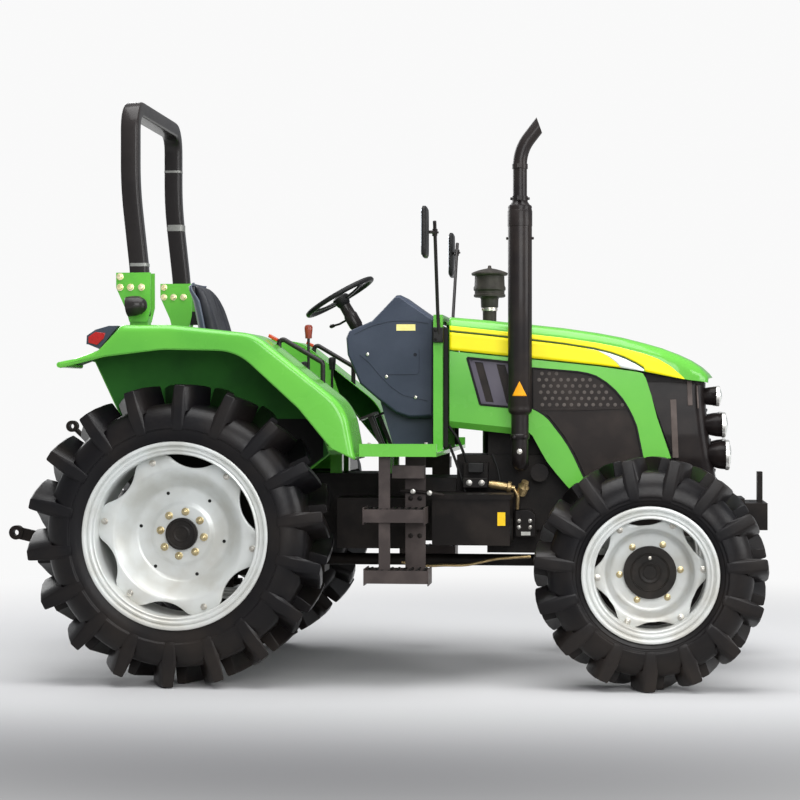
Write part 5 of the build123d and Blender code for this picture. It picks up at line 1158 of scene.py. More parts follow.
# ------------------------------------------------------------------------------------ rear lamps
# A moulded lamp cluster fills the notch in each fender's tail, with a red and an amber lens to the rear. A
# round work lamp hangs on the right bracket.
lamp_body = finish("lamp_body", (0.030, 0.038, 0.055, 1), (0.045, 0.055, 0.075, 1), 0.28, coat=0.3)
lens_red = finish("lens_red", (0.42, 0.012, 0.010, 1), (0.30, 0.008, 0.008, 1), 0.15, patch=30, coat=0.9)
lens_amber = finish("lens_amber", (0.80, 0.26, 0.010, 1), (0.66, 0.20, 0.010, 1), 0.15, patch=30, coat=0.9)
CLUSTER = [(-0.285, 1.7290), (-0.330, 1.7285), (-0.395, 1.7105), (-0.438, 1.682), (-0.440, 1.640),
           (-0.432, 1.640), (-0.376, 1.617), (-0.285, 1.727)]
LENS = [(-0.3975, 1.7075), (-0.4405, 1.6800), (-0.4425, 1.6480), (-0.4395, 1.6480), (-0.4350, 1.6780)]
FLANK = [(-0.347, 1.694), (-0.395, 1.699), (-0.429, 1.676), (-0.429, 1.647), (-0.386, 1.637),
         (-0.354, 1.668)]
for name, side in SIDE.items():
    body = plate(CLUSTER, side * 0.645, side * 0.900)
    piece(f"tail_lamp_body_{name}", [body], lamp_body, bevel=0.004)
    red, amber = plate(LENS, side * 0.655, side * 0.800), plate(LENS, side * 0.806, side * 0.890)
    piece(f"tail_lamp_red_{name}", [red], lens_red, bevel=0.001)
    flank = plate(FLANK, side * 0.8995, side * 0.9030)
    piece(f"tail_lamp_flank_{name}", [flank], lens_red, bevel=0.001)
    piece(f"tail_lamp_amber_{name}", [amber], lens_amber, bevel=0.001)

lamp_centre = (REAR_X - 0.262, -0.612, 1.838)
lamp_profile = [(-0.052, 0.0), (-0.050, 0.018), (-0.040, 0.032), (-0.018, 0.045), (0.010, 0.050),
                (0.046, 0.050), (0.049, 0.047), (0.044, 0.045), (0.040, 0.044), (0.040, 0.0)]
lens_profile = [(0.041, 0.0), (0.041, 0.044), (0.046, 0.040), (0.050, 0.020), (0.051, 0.0)]
lamp_way = (-1, 0, -0.12)
lamp_pin = tube(ahead([(-0.245, -0.562, 1.838), (-0.245, -0.580, 1.838)]), 0.014)
piece("work_lamp", [turned_along(lamp_profile, lamp_centre, lamp_way), lamp_pin], satin_black,
      replaces=["rear_lamps"])
piece("work_lamp_lens", [turned_along(lens_profile, lamp_centre, lamp_way)], lens_glass)

# ------------------------------------------------------------------------------------ seat
# A sprung driver's seat: a black vinyl cushion and back pad, each stuffed with foam and sewn in panels, and
# a blue-grey moulded shell behind the back. Its belt's black reel is bolted to the left roll bar bracket.
vinyl = finish("seat_vinyl", (0.020, 0.021, 0.025, 1), (0.030, 0.031, 0.037, 1), 0.36, spread=0.10, patch=10,
               grain=420, bump=0.35)
shell_plastic = finish("seat_shell", (0.055, 0.068, 0.095, 1), (0.075, 0.088, 0.115, 1), 0.30, patch=5,
                       grain=90, bump=0.05, coat=0.2)


def soft_block(cells=(14, 14, 10), power=5):
    """A closed block with rounded edges, its sides from -1 to 1: a gridded cube's points, each divided by
    its length under a high power, so that the faces stay nearly flat and the edges turn round."""
    work = bmesh.new()
    faces = []
    for axis in range(3):
        a, b = [k for k in range(3) if k != axis]
        for end in (-1, 1):
            grid = np.zeros((cells[a] + 1, cells[b] + 1, 3))
            grid[..., axis] = end
            grid[..., a] = np.linspace(-1, 1, cells[a] + 1)[:, None]
            grid[..., b] = np.linspace(-1, 1, cells[b] + 1)[None, :]
            faces.append(grid)
    for grid in faces:
        points, quads = skin(grid)
        made = [work.verts.new(point) for point in points]
        for quad in quads:
            work.faces.new([made[k] for k in quad])
    bmesh.ops.remove_doubles(work, verts=work.verts, dist=1e-5)
    work.verts.index_update()
    points = np.array([vert.co[:] for vert in work.verts])
    quads = [[vert.index for vert in face.verts] for face in work.faces]
    work.free()
    reach = (np.abs(points) ** power).sum(axis=1) ** (1 / power)
    return points / reach[:, None], quads


def stuff(thing, cap, held, voxel=0.006):
    """Swells a pad as foam does under its cover: cloth under pressure, with no point moved by more than the
    cap. held says which points a seam or the frame keeps in place."""
    remesh = thing.modifiers.new("even", "REMESH")
    remesh.mode = "VOXEL"
    remesh.voxel_size = voxel
    shot = thing.evaluated_get(bpy.context.evaluated_depsgraph_get())
    even = bpy.data.meshes.new_from_object(shot)
    thing.modifiers.clear()
    thing.data = even
    rest = np.zeros(len(even.vertices) * 3)
    even.vertices.foreach_get("co", rest)
    rest = rest.reshape(-1, 3)
    group = thing.vertex_groups.new(name="held")
    group.add(np.flatnonzero(held(rest)).tolist(), 1.0, "REPLACE")
    cloth = thing.modifiers.new("pad", "CLOTH")
    cloth.settings.use_pressure = True
    cloth.settings.uniform_pressure_force = 4
    cloth.settings.effector_weights.gravity = 0
    cloth.settings.vertex_group_mass = "held"
    for step in range(1, 21):
        bpy.context.scene.frame_set(step)
    shot = thing.evaluated_get(bpy.context.evaluated_depsgraph_get())
    swollen = np.zeros(len(even.vertices) * 3)
    shot.data.vertices.foreach_get("co", swollen)
    move = swollen.reshape(-1, 3) - rest
    length = np.linalg.norm(move, axis=1, keepdims=True)
    move *= np.minimum(1, cap / np.maximum(length, 1e-9))
    thing.modifiers.clear()
    even.vertices.foreach_set("co", (rest + move).ravel())
    even.update()
    bpy.context.scene.frame_set(1)
    thing.data.shade_smooth()
    rounder = thing.modifiers.new("round", "SUBSURF")
    rounder.levels = 1
    rounder.render_levels = 1


CUSHION_X, CUSHION_Z, CUSHION_HALF = (-0.005, 0.432), (1.424, 1.545), 0.228
BACK_Z, BACK_HALF = (1.446, 1.966), 0.215


def cushion_shape():
    """The seat pad: deeper at its rear, a roll at its front, and raised side bolsters."""
    points, quads = soft_block()
    u, v, w = points.T
    x = np.interp(u, (-1, 1), CUSHION_X)
    z = np.interp(w, (-1, 1), (CUSHION_Z[0], CUSHION_Z[1] - 0.035))
    bolster, roll = np.clip((np.abs(v) - 0.45) / 0.5, 0, 1), np.clip(u - 0.2, 0, 1)
    z = z + np.clip(w, 0, 1) * (0.030 * bolster + 0.016 * roll)
    z = z - 0.02 * np.clip(-u, 0, 1) * np.clip(w, 0, 1)
    return np.stack([REAR_X + x, v * CUSHION_HALF * (1 - 0.05 * np.clip(u, 0, 1) ** 2), z], axis=1), quads


def back_rear(z):
    """How far ahead of the axle the rear of the backrest is at a height: it leans back towards its top."""
    return np.interp(z, (1.44, 1.60, 1.75, 1.90, 1.978), (-0.022, -0.042, -0.062, -0.092, -0.114))


def back_shape():
    """The back pad: thickest at the loins, thin at the top, wrapped forward at its sides."""
    points, quads = soft_block((8, 14, 16))
    u, v, w = points.T
    z = np.interp(w, (-1, 1), BACK_Z)
    thick = np.interp(z, (1.44, 1.55, 1.70, 1.85, 1.97), (0.070, 0.086, 0.090, 0.070, 0.045))
    wide = BACK_HALF * np.interp(z, (1.44, 1.60, 1.85, 1.97), (0.90, 1.0, 0.95, 0.80))
    x = back_rear(z) + 0.012 + thick * (u + 1) / 2 + 0.040 * v**2
    return np.stack([REAR_X + x, v * wide, z], axis=1), quads


def cushion_held(points):
    """The cushion's base, its seams along both bolsters and across its middle."""
    x, y, z = points[:, 0] - REAR_X, points[:, 1], points[:, 2]
    seams = (np.abs(np.abs(y) - 0.135) < 0.005) | (np.abs(x - 0.150) < 0.005) | (np.abs(x - 0.290) < 0.005)
    return (z < CUSHION_Z[0] + 0.012) | (seams & (z > 1.47) & (np.abs(y) < 0.141))


def back_held(points):
    """The back pad's rear, its seams down both bolsters and across."""
    x, y, z = points[:, 0] - REAR_X, points[:, 1], points[:, 2]
    rear = x < back_rear(z) + 0.040 * (y / BACK_HALF) ** 2 + 0.022
    seams = (np.abs(np.abs(y) - 0.120) < 0.005) | (np.abs(z - 1.62) < 0.005) | (np.abs(z - 1.79) < 0.005)
    return rear | (seams & (np.abs(y) < 0.126))


seat_pad = piece("seat_cushion_pad", [cushion_shape()], vinyl, replaces=["seat_cushion"],
                 soft_angle=80)
stuff(seat_pad, 0.022, cushion_held)
back_pad = piece("seat_back_pad", [back_shape()], vinyl, replaces=["seat_back"],
                 soft_angle=80)
stuff(back_pad, 0.022, back_held)


def back_shell():
    """The shell behind the pad: rows up its height, columns across it and round both edges."""
    z = np.linspace(1.450, 1.972, 30)[:, None]
    share = np.linspace(-1, 1, 25)[None, :]
    wide = (BACK_HALF + 0.008) * np.interp(z, (1.44, 1.60, 1.85, 1.93, 1.972), (0.90, 1.0, 0.95, 0.86, 0.70))
    y = wide * np.sin(share * pi / 2)
    wrap = 0.042 * (y / BACK_HALF) ** 2 + 0.022 * np.clip((np.abs(share) - 0.75) / 0.25, 0, 1) ** 2
    wrap = wrap * (1 - 0.6 * np.clip((z - 1.88) / 0.09, 0, 1))
    x = back_rear(z) + wrap + 0.030 * np.clip((z - 1.94) / 0.032, 0, 1) ** 2
    return skin(np.stack([REAR_X + x, y, z + 0 * y], axis=-1))


shell = open_skin("seat_back_shell", [back_shell()], shell_plastic, toward=(-1, 0, 0), soft_angle=60)
sheet_wall(shell, 0.005, inward=1)
reel_line = [(-0.217, 1.782), (-0.160, 1.782), (-0.148, 1.794), (-0.148, 1.842), (-0.160, 1.854),
             (-0.217, 1.854)]
reel_bolt = hex_heads([(REAR_X - 0.182, 0.506, 1.818)], (0, 1, 0), 0.010, 0.009)
piece("belt_reel", [plate(reel_line, 0.452, 0.506)] + reel_bolt, black_and_painted_shade, bevel=0.004)

# ------------------------------------------------------------------------------------ console
# A blue-black moulded dashboard cowl on a narrower pedestal, screwed together from faceted panels.
cowl = finish("console_plastic", (0.036, 0.045, 0.068, 1), (0.050, 0.060, 0.088, 1), 0.40, spread=0.1,
              patch=4, grain=260, bump=0.12)
groove = finish("console_groove", (0.010, 0.012, 0.018, 1), (0.016, 0.018, 0.026, 1), 0.6)
HEAD = [(1.178, 1.282), (1.180, 1.560), (1.180, 1.783), (1.095, 1.840), (1.006, 1.904), (0.985, 1.903),
        (0.925, 1.840), (0.862, 1.775), (0.742, 1.722), (0.728, 1.690), (0.735, 1.602), (0.800, 1.452),
        (0.890, 1.375), (0.985, 1.302), (1.060, 1.277)]
PEDESTAL = [(1.176, 1.125), (1.176, 1.330), (0.905, 1.440), (0.870, 1.455), (0.885, 1.400), (0.965, 1.130)]


# Where the cowl's outline is drawn, as shares of its half width, and its size there before it is rolled in
COWL_STEPS = [(0.80, 1.0), (0.93, 0.985), (0.985, 0.955), (1.0, 0.93)]


def cowl_rows(outline, half, roll):
    """The same outline at several distances from the middle, drawn in a little near both sides."""
    outline = np.array(outline, float)
    middle = outline.mean(axis=0)
    rows = []
    for share, shrink in [(-share, shrink) for share, shrink in COWL_STEPS[::-1]] + COWL_STEPS:
        drawn = middle + (outline - middle) * (1 - (1 - shrink) * roll)
        rows.append([(REAR_X + x, share * half, z) for x, z in drawn])
    return capped(np.array(rows))


piece("console_cowl", [cowl_rows(HEAD, 0.250, 0.8), cowl_rows(PEDESTAL, 0.170, 0.4)], cowl,
      replaces=["console"], soft_angle=22, bevel=0.004)
SEAMS = [
    [(1.150, 1.758), (1.05, 1.772), (0.95, 1.768), (0.860, 1.745), (0.775, 1.705)],
    [(0.800, 1.600), (0.850, 1.560), (0.900, 1.500), (0.960, 1.438), (1.023, 1.395), (1.150, 1.367)],
    [(1.103, 1.629), (1.103, 1.501), (0.947, 1.501)],
]
for name, side in SIDE.items():
    lines = []
    for line in SEAMS:
        run = rounded_path(ahead([(x, side * 0.2502, z) for x, z in line]), 0.02, steps=4)
        lines.append(square_tube(run, 0.0012, 0.0035, up=(0, 1, 0)))
    hole = round_studs([(REAR_X + 1.083, side * 0.2500, 1.601)], (0, side, 0), 0.009, 0.001, dome=0.1)
    piece(f"console_seams_{name}", lines + hole, groove)
    screws = ahead([(x, side * 0.2500, z) for x, z in ((0.938, 1.490), (1.086, 1.386), (0.842, 1.603))])
    piece(f"console_screws_{name}", round_studs(screws, (0, side, 0), 0.0085, 0.005), zinc)
pale_label = finish("pale_label", (0.86, 0.74, 0.30, 1), (0.80, 0.66, 0.22, 1), 0.45, patch=20)
piece("console_blank_label", [oblong((0.988, 1.084), (1.722, 1.754), -0.2500, -0.2512)], pale_label)

# ------------------------------------------------------------------------------------ steering
# A black moulded wheel with a thick grip on three flat spokes, over a round column with its tilt lever.
grip_black = finish("grip_black", (0.0095, 0.0095, 0.010, 1), (0.017, 0.0165, 0.0165, 1), 0.42, patch=14,
                    grain=240, bump=0.25)
STEER = np.array([REAR_X + 0.667, 0.0, 1.905])
LEAN = radians(30)
STEER_AXIS = np.array([-sin(LEAN), 0, cos(LEAN)])
STEER_FORWARD = np.array([cos(LEAN), 0, sin(LEAN)])


def steering_place(along, out, angle):
    """A place by its height up the column's axis, its distance from the axis and its angle round it."""
    ring = STEER_FORWARD * cos(angle) + np.array([0, 1.0, 0]) * sin(angle)
    return STEER + STEER_AXIS * along + ring * out


grip = [(0.0130 * sin(a), 0.187 + 0.0130 * cos(a)) for a in full_turn(14)]
rim = turned_along(grip, STEER, STEER_AXIS, count=72, closed=True)
hub_profile = [(-0.055, 0.0), (-0.055, 0.026), (-0.045, 0.034), (-0.020, 0.042), (-0.004, 0.044),
               (0.004, 0.036), (0.008, 0.018), (0.009, 0.0)]
SPOKE = [(-0.022, 0.028), (-0.020, 0.070), (-0.012, 0.130), (0.000, 0.180)]
spokes = []
for angle in np.radians([90, 210, 330]):
    run = [steering_place(along, out, angle) for along, out in SPOKE]
    spokes.append(swept(run, rounded_box_row(0.0045, 0.0150, 0.003), STEER_AXIS))
piece("steering_wheel_rim", [rim, turned_along(hub_profile, STEER, STEER_AXIS)] + spokes, grip_black,
      "steering_wheel", replaces=["steering_wheel"])
sleeve = [(-0.330, 0.0), (-0.330, 0.031), (-0.180, 0.031), (-0.170, 0.035), (-0.110, 0.036), (-0.100, 0.031),
          (-0.064, 0.030), (-0.060, 0.024), (-0.060, 0.0)]
tilt = [steering_place(-0.120, 0.030, pi), steering_place(-0.118, 0.075, pi * 0.92),
        steering_place(-0.105, 0.125, pi * 0.86)]
tilt_knob = [(-0.012, 0.0), (-0.010, 0.009), (0.010, 0.011), (0.018, 0.007), (0.020, 0.0)]
tilt_end = turned_along(tilt_knob, tilt[-1], tilt[-1] - tilt[-2], count=20)
piece("steering_column_sleeve", [turned_along(sleeve, STEER, STEER_AXIS), tube(tilt, 0.006), tilt_end],
      satin_black)

# ------------------------------------------------------------------------------------ mirrors
# A black moulded mirror on each side, clipped by a short arm to a round steel stalk. The stalk leans outward
# from a clamp at the top of the arch.
mirror_glass = finish("mirror_glass", (0.55, 0.60, 0.64, 1), (0.50, 0.55, 0.60, 1), 0.06, spread=0.03,
                      metal=1.0)
MIRROR_X = REAR_X + 1.184
for name, side in SIDE.items():
    stalk_line = [(1.222, side * 0.440, 1.680), (1.216, side * 0.462, 1.790), (1.222, side * 0.712, 2.232)]
    arm_line = [(1.222, side * 0.690, 2.180), (1.208, side * 0.715, 2.180), (1.194, side * 0.735, 2.178)]
    stalk = tube(rounded_path(ahead(stalk_line), 0.05), 0.0088)
    arm = tube(rounded_path(ahead(arm_line), 0.01), 0.008)
    clip = turned_along([(-0.016, 0.0), (-0.016, 0.013), (0.016, 0.013), (0.016, 0.0)],
                        (REAR_X + 1.221, side * 0.687, 2.180), (0.1, side * 0.42, 0.9), count=20)
    nut = hex_heads([(REAR_X + 1.232, side * 0.690, 2.180)], (1, 0, 0), 0.006, 0.008)
    piece(f"mirror_stalk_{name}", [stalk, arm, clip] + nut, satin_black)
    points, quads = soft_block((4, 16, 18), power=7)
    u, v, w = points.T
    bulge = np.where(u > 0, u * (1.0 - 0.25 * v**2), u * 0.75)
    shape = np.stack([MIRROR_X + 0.0155 * bulge, side * 0.800 + 0.0895 * v, 2.1725 + 0.122 * w], axis=1)
    piece(f"mirror_head_{name}", [(shape, quads)], grip_black, replaces=["mirrors"],
          soft_angle=70)
    glass_x = MIRROR_X - 0.0118 - 0.0016 * np.clip(-u, -1, 1)
    glass = np.stack([glass_x, side * 0.800 + 0.080 * v, 2.1725 + 0.111 * w], axis=1)
    piece(f"mirror_glass_{name}", [(glass, quads)], mirror_glass, soft_angle=30)

# ------------------------------------------------------------------------------------ exhaust
# A heat-blackened stack: a flanged elbow, a cone, a silencer in its rolled shield, and a clamped tail pipe
# that bends forward to a slant-cut mouth. A blank warning triangle is stuck to the shield.
stack_black = finish("exhaust_black", (0.0100, 0.0078, 0.0082, 1), (0.019, 0.0145, 0.013, 1), 0.38, patch=7,
                     grain=150, bump=0.15, coat=0.1)
amber_paint = finish("triangle_amber", (0.85, 0.36, 0.010, 1), (0.75, 0.30, 0.010, 1), 0.4, patch=25)
STACK_X, STACK_Y = REAR_X + 1.620, -0.450
STACK = (STACK_X, STACK_Y, 0)
UP = (0, 0, 1)
CLAMPS_Z = (2.362, 2.520)
shield = [(1.180, 0.0), (1.180, 0.044), (1.186, 0.047), (1.200, 0.047), (1.206, 0.043), (1.300, 0.043),
          (1.312, 0.055), (1.318, 0.0585), (1.330, 0.0590), (1.342, 0.0575), (1.346, 0.0590),
          (2.306, 0.0590), (2.312, 0.0575), (2.320, 0.0590), (2.326, 0.0570), (2.332, 0.0480),
          (2.346, 0.0385), (2.352, 0.0370), (2.352, 0.0)]
bands = []
for z in CLAMPS_Z:
    band = [(z - 0.012, 0.0345), (z - 0.012, 0.0385), (z + 0.012, 0.0385), (z + 0.012, 0.0345)]
    bands.append(turned_along(band, STACK, UP, closed=True))
pipe_line = [(STACK_X, STACK_Y, 2.345), (STACK_X, STACK_Y, 2.600), (STACK_X + 0.095, STACK_Y, 2.722)]
pipe_path = rounded_path(pipe_line, 0.075, steps=12)


def slanted_mouth(path, radius, bore, cut):
    """A pipe along a path, its last row cut on a slant and carried back inside as a short bore."""
    turn = full_turn(32)
    way = heading(path)
    side_way = np.array([0, 1.0, 0])
    over = np.cross(way, side_way)
    rows = []
    for spot, up in zip(path, over):
        rows.append(spot + radius * (np.cos(turn)[:, None] * up + np.sin(turn)[:, None] * side_way))
    rows[-1] = rows[-1] + cut * np.cos(turn)[:, None] * way[-1]
    inner = rows[-1] + (rows[-1] - rows[-1].mean(axis=0)) * (bore / radius - 1)
    deep = inner - way[-1] * 0.10
    return capped(np.stack(rows + [inner, deep]))


tail_pipe = slanted_mouth(pipe_path, 0.0345, 0.0315, 0.022)
elbow = rounded_path([(STACK_X, -0.300, 1.060), (STACK_X, STACK_Y, 1.060), (STACK_X, STACK_Y, 1.190)], 0.07,
                     steps=10)
flange_places = [(STACK_X + way * 0.026, STACK_Y - 0.0415, 1.190) for way in (-1, 1)]
ears = []
for z in CLAMPS_Z:
    corners = [(STACK_X + dx, z + dz) for dx, dz in ((-0.012, -0.010), (0.012, -0.010), (0.012, 0.010),
                                                     (-0.012, 0.010))]
    ears.append(slab(corners, STACK_Y - 0.052, STACK_Y - 0.036))
collar_line = [(2.225, 0.0588), (2.226, 0.0606), (2.300, 0.0606), (2.304, 0.0588)]
collar = [turned_along(collar_line, STACK, UP, count=64, closed=True)]
for way in (-1, 1):
    for out, z in ((0.0585, 2.167), (0.0380, 2.362)):
        collar += round_studs([(STACK_X + way * out, STACK_Y, z)], (way, 0, 0), 0.007, 0.010)
shapes = [turned_along(shield, STACK, UP, count=64), tail_pipe,
          swept(elbow, round_row(0.040, 24), (1, 0, 0))]
shapes += bands + ears + hex_heads(flange_places, (0, -1, 0), 0.007, 0.008) + collar
piece("exhaust_stack", shapes, stack_black, replaces=["exhaust"], soft_angle=32)
piece("exhaust_bolt", hex_heads([(STACK_X, STACK_Y - 0.0405, 1.120)], (0, -1, 0), 0.010, 0.008), zinc)
share = np.linspace(0, 1, 14)[:, None]
span = np.linspace(-1, 1, 13)[None, :]
sign_dx = 0.036 * (1 - share) * span
sign_z = 1.392 + 0.073 * share + 0 * span
sign = np.stack([STACK_X + sign_dx, STACK_Y - np.sqrt(0.0596**2 - sign_dx**2), sign_z], axis=-1)
sheet_wall(open_skin("exhaust_blank_triangle", [skin(sign)], amber_paint, toward=(0, -1, 0)), 0.0006)
seam_line = [(STACK_X + 0.045, STACK_Y - 0.0385, z) for z in (1.35, 2.30)]
piece("exhaust_shield_seam", [tube(seam_line, 0.0025, 8)], stack_black)

# ------------------------------------------------------------------------------------ pre-cleaner
# The engine breathes through a black plastic bowl with a domed lid and a wing nut, held on its pipe by a
# bright worm clamp.
dusty_plastic = finish("dusty_plastic", (0.026, 0.023, 0.020, 1), (0.048, 0.043, 0.037, 1), 0.46, patch=16,
                       grain=220, bump=0.2)
BOWL = (REAR_X + 1.415, 0.455, 0)
bowl = [(1.780, 0.0), (1.780, 0.0365), (1.912, 0.0380), (1.916, 0.050), (1.921, 0.052), (1.922, 0.078),
        (1.926, 0.0845), (1.936, 0.0850), (1.940, 0.0800), (1.955, 0.0800), (1.962, 0.0860), (1.975, 0.0860),
        (1.985, 0.0810), (2.036, 0.0790), (2.040, 0.0940), (2.047, 0.0980), (2.053, 0.0970), (2.058, 0.0860),
        (2.066, 0.0640), (2.073, 0.0380), (2.078, 0.0120), (2.082, 0.0100), (2.092, 0.0085), (2.094, 0.0)]
stem = [(1.300, 0.0), (1.300, 0.0365), (1.790, 0.0365), (1.790, 0.0)]
neck = [(1.868, 0.039), (1.868, 0.046), (1.916, 0.048), (1.916, 0.039)]
clasp = [(1.850, 0.0380), (1.849, 0.0415), (1.858, 0.0425), (1.867, 0.0415), (1.868, 0.0380)]
piece("precleaner_bowl", [turned_along(bowl, BOWL, UP, count=72), turned_along(neck, BOWL, UP, closed=True)],
      dusty_plastic, replaces=["precleaner"])
intake_line = [(BOWL[0], 0.300, 1.045), (BOWL[0], BOWL[1], 1.045), (BOWL[0], BOWL[1], 1.310)]
intake = swept(rounded_path(intake_line, 0.07, steps=10), round_row(0.0375, 24), (1, 0, 0))
piece("precleaner_stem", [turned_along(stem, BOWL, UP), intake], satin_black)
screw = hex_heads([(BOWL[0] - 0.030, BOWL[1] - 0.034, 1.858)], (-0.7, -0.7, 0), 0.006, 0.012)
piece("precleaner_clamp", [turned_along(clasp, BOWL, UP, closed=True)] + screw, zinc)

# ------------------------------------------------------------------------------------ frame parts
# Cast iron, black-painted steel and green-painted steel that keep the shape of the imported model: each gets
# its finish and softly broken edges.
casting = finish("cast_iron_black", (0.0080, 0.0070, 0.0070, 1), (0.018, 0.0145, 0.0125, 1), 0.50, patch=7,
                 grain=130, bump=0.35, dust=(0.045, 0.036, 0.028, 1), dust_top=0.9)
steel_black = finish("black_steel", (0.0070, 0.0060, 0.0060, 1), (0.018, 0.0145, 0.0130, 1), 0.40, patch=6,
                     grain=150, bump=0.12, dust=(0.035, 0.028, 0.022, 1), dust_top=1.0, specular=0.10)
step_paint = finish("step_paint", (0.040, 0.032, 0.031, 1), (0.070, 0.056, 0.053, 1), 0.45, patch=9,
                    grain=120, bump=0.2, dust=(0.10, 0.08, 0.07, 1), dust_top=1.1)
bright_steel = finish("bright_steel", (0.50, 0.49, 0.46, 1), (0.30, 0.28, 0.25, 1), 0.32, metal=0.9,
                      patch=12)


def dress(material, nodes, bevel=0.0):
    """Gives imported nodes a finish, and breaks their edges with a small bevel."""
    for node in nodes:
        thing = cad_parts[node]
        thing.data.materials.clear()
        thing.data.materials.append(material)
        if bevel:
            soft_edge(thing, bevel, 40)


dress(casting, ["transmission", "engine", "front_axle", "knuckle_right", "knuckle_left"], 0.004)
dress(steel_black, ["drawbar", "top_link", "lower_links", "lift_arms", "lift_rods", "front_support",
                    "drive_shaft", "side_boxes", "bay_frame", "seat_base"], 0.003)
dress(step_paint, ["steps"], 0.002)
dress(satin_black, ["grab_rails", "controls"])
dress(bright_steel, ["pto_shaft", "tie_rod"])
dress(green, ["platform", "arch", "rops_brackets"], 0.003)
dress(hub_black, ["front_hub_right", "front_hub_left", "rear_hub_right", "rear_hub_left"])

# ------------------------------------------------------------------------------------ steps
# Two rubber-faced treads in folded steel rims on each side. A tread's top has raised grip bars, and welded
# plates close its rim's ends.
# Treads: height of the top, and the rear and front distances ahead of the axle
TREADS = [(0.855, 0.898, 1.190), (0.566, 0.902, 1.208)]
for name, side in SIDE.items():
    grips, plates = [], []
    for top, rear, front in TREADS:
        for k in range(9):
            x = rear + 0.022 + (front - rear - 0.044) * k / 8
            bar = ahead([(x, side * y, top + 0.0015) for y in (0.728, 0.815, 0.902)])
            grips.append(square_tube(bar, 0.009, 0.005))
        for x in (rear - 0.001, front - 0.003):
            plates.append(oblong((x, x + 0.005), (top - 0.072, top + 0.008), side * 0.722, side * 0.912))
    piece(f"step_grips_{name}", grips, black_seal, bevel=0.001)
    piece(f"step_end_plates_{name}", plates, step_paint, bevel=0.001)
    bolts = ahead([(x, side * 0.7285, z) for x in (1.108, 1.152) for z in (0.90, 0.72)])
    piece(f"step_bolts_{name}", hex_heads(bolts, (0, side, 0), 0.009, 0.009), steel_black)
rod = ahead([(1.060, -0.742, 0.936), (1.121, -0.742, 0.934), (1.201, -0.742, 0.927), (1.262, -0.700, 0.915)])
piece("shift_rod", [tube(rounded_path(rod, 0.02, steps=5), 0.008, 12)], steel_black)
rod_heads = ahead([(1.121, -0.748, 0.934), (1.201, -0.748, 0.927)])
piece("shift_rod_heads", round_studs(rod_heads, (0, -1, 0), 0.013, 0.010), bright_steel)

# ------------------------------------------------------------------------------------ platform
# The floor and the seat deck carry a ribbed rubber mat, cut to leave the painted rails free.
mats = [oblong((0.900, 1.175), (1.1252, 1.1290), y0, y1) for y0, y1 in ((-0.895, -0.262), (0.262, 0.895))]
for y in np.arange(-0.86, 0.87, 0.036):
    if abs(y) > 0.27:
        mats.append(square_tube(ahead([(x, y, 1.1295) for x in (0.91, 1.04, 1.165)]), 0.010, 0.003))
piece("floor_mat", mats, black_seal, bevel=0.001)
floor_bolts = ahead([(x, side * 0.918, 1.1655) for x in (0.93, 1.20) for side in SIDE.values()])
piece("platform_bolts", hex_heads(floor_bolts, (0, 0, 1), 0.008, 0.006), zinc)

# ------------------------------------------------------------------------------------ tool boxes
# The boxes under the platform get a small blank yellow plate. Ahead of them are a cast valve block with four
# bolts and a bare white plate, brass fuel fittings, a relay box, a bracket on the engine and thin pipes.
sticker = finish("blank_sticker", (0.86, 0.58, 0.020, 1), (0.80, 0.50, 0.020, 1), 0.45, patch=25)
bare_plate = finish("bare_plate", (0.60, 0.60, 0.56, 1), (0.45, 0.45, 0.42, 1), 0.45, patch=20)
brass_cast = finish("fitting_brass", (0.50, 0.37, 0.18, 1), (0.28, 0.20, 0.10, 1), 0.36, metal=0.8, patch=20,
                    bump=0.3)
box_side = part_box("side_boxes")[0][1]
blank = oblong((1.519, 1.557), (0.764, 0.829), box_side - 0.0002, box_side - 0.0012)
piece("box_blank_sticker", [blank], sticker)
BLOCK = [(1.588, 0.690), (1.690, 0.690), (1.690, 0.800), (1.660, 0.826), (1.588, 0.826)]
piece("valve_block", [plate(BLOCK, -0.200, -0.306)], casting, bevel=0.005)
places = ahead([(x, -0.306, z) for x in (1.608, 1.664) for z in (0.770, 0.738)])
piece("valve_block_bolts", hex_heads(places, (0, -1, 0), 0.0075, 0.007), bright_steel)
piece("valve_block_plate", [oblong((1.619, 1.665), (0.698, 0.716), -0.3062, -0.3074)], bare_plate)
tap = [(-0.060, 0.0), (-0.060, 0.016), (-0.040, 0.020), (0.030, 0.020), (0.034, 0.028), (0.050, 0.028),
       (0.054, 0.014), (0.070, 0.012), (0.070, 0.0)]
union = [(-0.035, 0.0), (-0.035, 0.024), (0.010, 0.028), (0.022, 0.020), (0.040, 0.018), (0.040, 0.0)]
drop = ahead([(1.580, -0.330, 0.936), (1.605, -0.330, 0.900), (1.600, -0.320, 0.830)])
fittings = [turned_along(tap, (REAR_X + 1.520, -0.330, 0.945), (1, 0, -0.15)),
            turned_along(union, (REAR_X + 1.630, -0.330, 0.935), (0.3, -0.5, 0.8)),
            tube(rounded_path(drop, 0.02, steps=5), 0.009, 12)]
piece("fuel_fittings", fittings, brass_cast)
piece("relay_box", [oblong((1.357, 1.433), (1.011, 1.059), -0.300, -0.352)], grip_black, bevel=0.004)
bracket = oblong((1.330, 1.455), (0.935, 0.985), -0.300, -0.346)
piece("engine_side_bracket", [bracket], casting, bevel=0.004)
places = ahead([(x, -0.346, 0.960) for x in (1.362, 1.424)])
piece("engine_side_bolts", hex_heads(places, (0, -1, 0), 0.0115, 0.010), bright_steel)
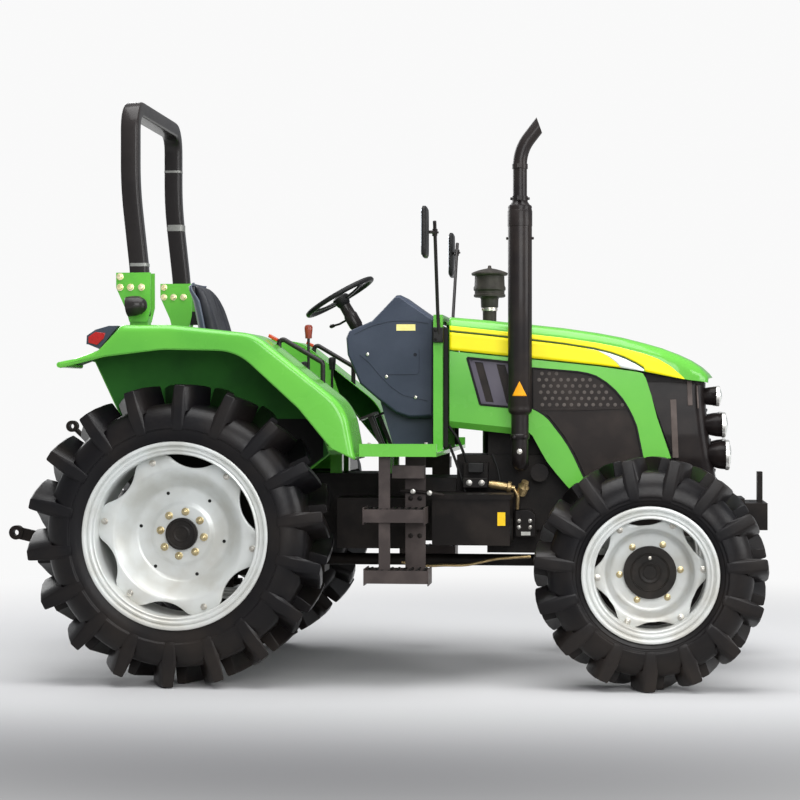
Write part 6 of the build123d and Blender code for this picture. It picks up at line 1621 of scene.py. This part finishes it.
PIPES = [
    [(1.020, -0.300, 0.560), (1.154, -0.300, 0.540), (1.229, -0.300, 0.546), (1.346, -0.300, 0.545),
     (1.488, -0.300, 0.580), (1.667, -0.300, 0.592)],
    [(1.260, -0.330, 1.240), (1.300, -0.336, 1.190), (1.330, -0.336, 1.120), (1.350, -0.320, 1.060)],
    [(1.475, -0.300, 1.100), (1.505, -0.322, 1.030), (1.515, -0.330, 0.965)],
    [(1.260, -0.300, 1.150), (1.300, -0.320, 1.050), (1.330, -0.330, 0.960), (1.345, -0.320, 0.890)],
]
for k, line in enumerate(PIPES):
    run = rounded_path(ahead(line), 0.05, steps=6)
    piece(f"service_pipe_{k + 1}", [tube(run, 0.007, 12)], brass_cast if k == 0 else black_seal)

# ------------------------------------------------------------------------------------ driver's levers
# Moulded knobs and rubber boots on the levers, one knob red-brown, and an orange reflector on each fender.
knob_red = finish("knob_red", (0.24, 0.040, 0.020, 1), (0.16, 0.030, 0.018, 1), 0.35, patch=30, coat=0.4)
reflector = finish("reflector_orange", (0.50, 0.055, 0.012, 1), (0.36, 0.035, 0.010, 1), 0.18, patch=60,
                   coat=0.9)
# Levers: the knob's and the boot's distance ahead of the axle, offset to the side, height of the top, finish
LEVERS = [
    (0.572, 0.572, -0.460, 1.746, knob_red), (0.548, 0.540, -0.430, 1.564, grip_black),
    (0.566, 0.560, 0.440, 1.604, grip_black),
]
KNOB_SHAPE = [(-0.068, 0.0), (-0.068, 0.0165), (-0.050, 0.0170), (-0.030, 0.0195), (-0.012, 0.0205),
              (-0.003, 0.0160), (0.0, 0.006), (0.0005, 0.0)]
BOOT_SHAPE = [(0.0, 0.0), (0.0, 0.030), (0.006, 0.034), (0.016, 0.027), (0.024, 0.028), (0.034, 0.020),
              (0.042, 0.021), (0.054, 0.012), (0.060, 0.0)]
REFLECTOR = [(0.398, 1.680), (0.440, 1.658), (0.448, 1.672), (0.404, 1.696)]
for k, (x, foot_x, y, top, colour) in enumerate(LEVERS):
    knob = turned_along(KNOB_SHAPE, (REAR_X + x, y, top), UP, count=28)
    piece(f"lever_knob_{k + 1}", [knob], colour)
    boot = turned_along(BOOT_SHAPE, (REAR_X + foot_x, y, 1.126), UP, count=28)
    piece(f"lever_boot_{k + 1}", [boot], black_seal)
for name, side in SIDE.items():
    body = plate(REFLECTOR, side * 0.600, side * 0.640)
    piece(f"fender_reflector_{name}", [body], reflector, bevel=0.003)

# ------------------------------------------------------------------------------------ hoop fittings
# A black clamp at the top of each post holds a mirror stalk, and a rubber seal stands between the hoop and
# the bonnet.
for name, side in SIDE.items():
    clamp = oblong((1.190, 1.241), (1.656, 1.732), side * 0.4205, side * 0.4520)
    piece(f"mirror_clamp_{name}", [clamp], grip_black, bevel=0.005)
    places = [(REAR_X + 1.204, side * 0.4520, z) for z in (1.672, 1.716)]
    piece(f"mirror_clamp_bolts_{name}", hex_heads(places, (0, side, 0), 0.006, 0.005), steel_black)
    edge = [(REAR_X + 1.2465, side * 0.352, z) for z in np.linspace(1.135, 1.735, 12)]
    piece(f"hoop_seal_{name}", [square_tube(edge, 0.012, 0.022, up=(1, 0, 0))], black_seal, bevel=0.003)
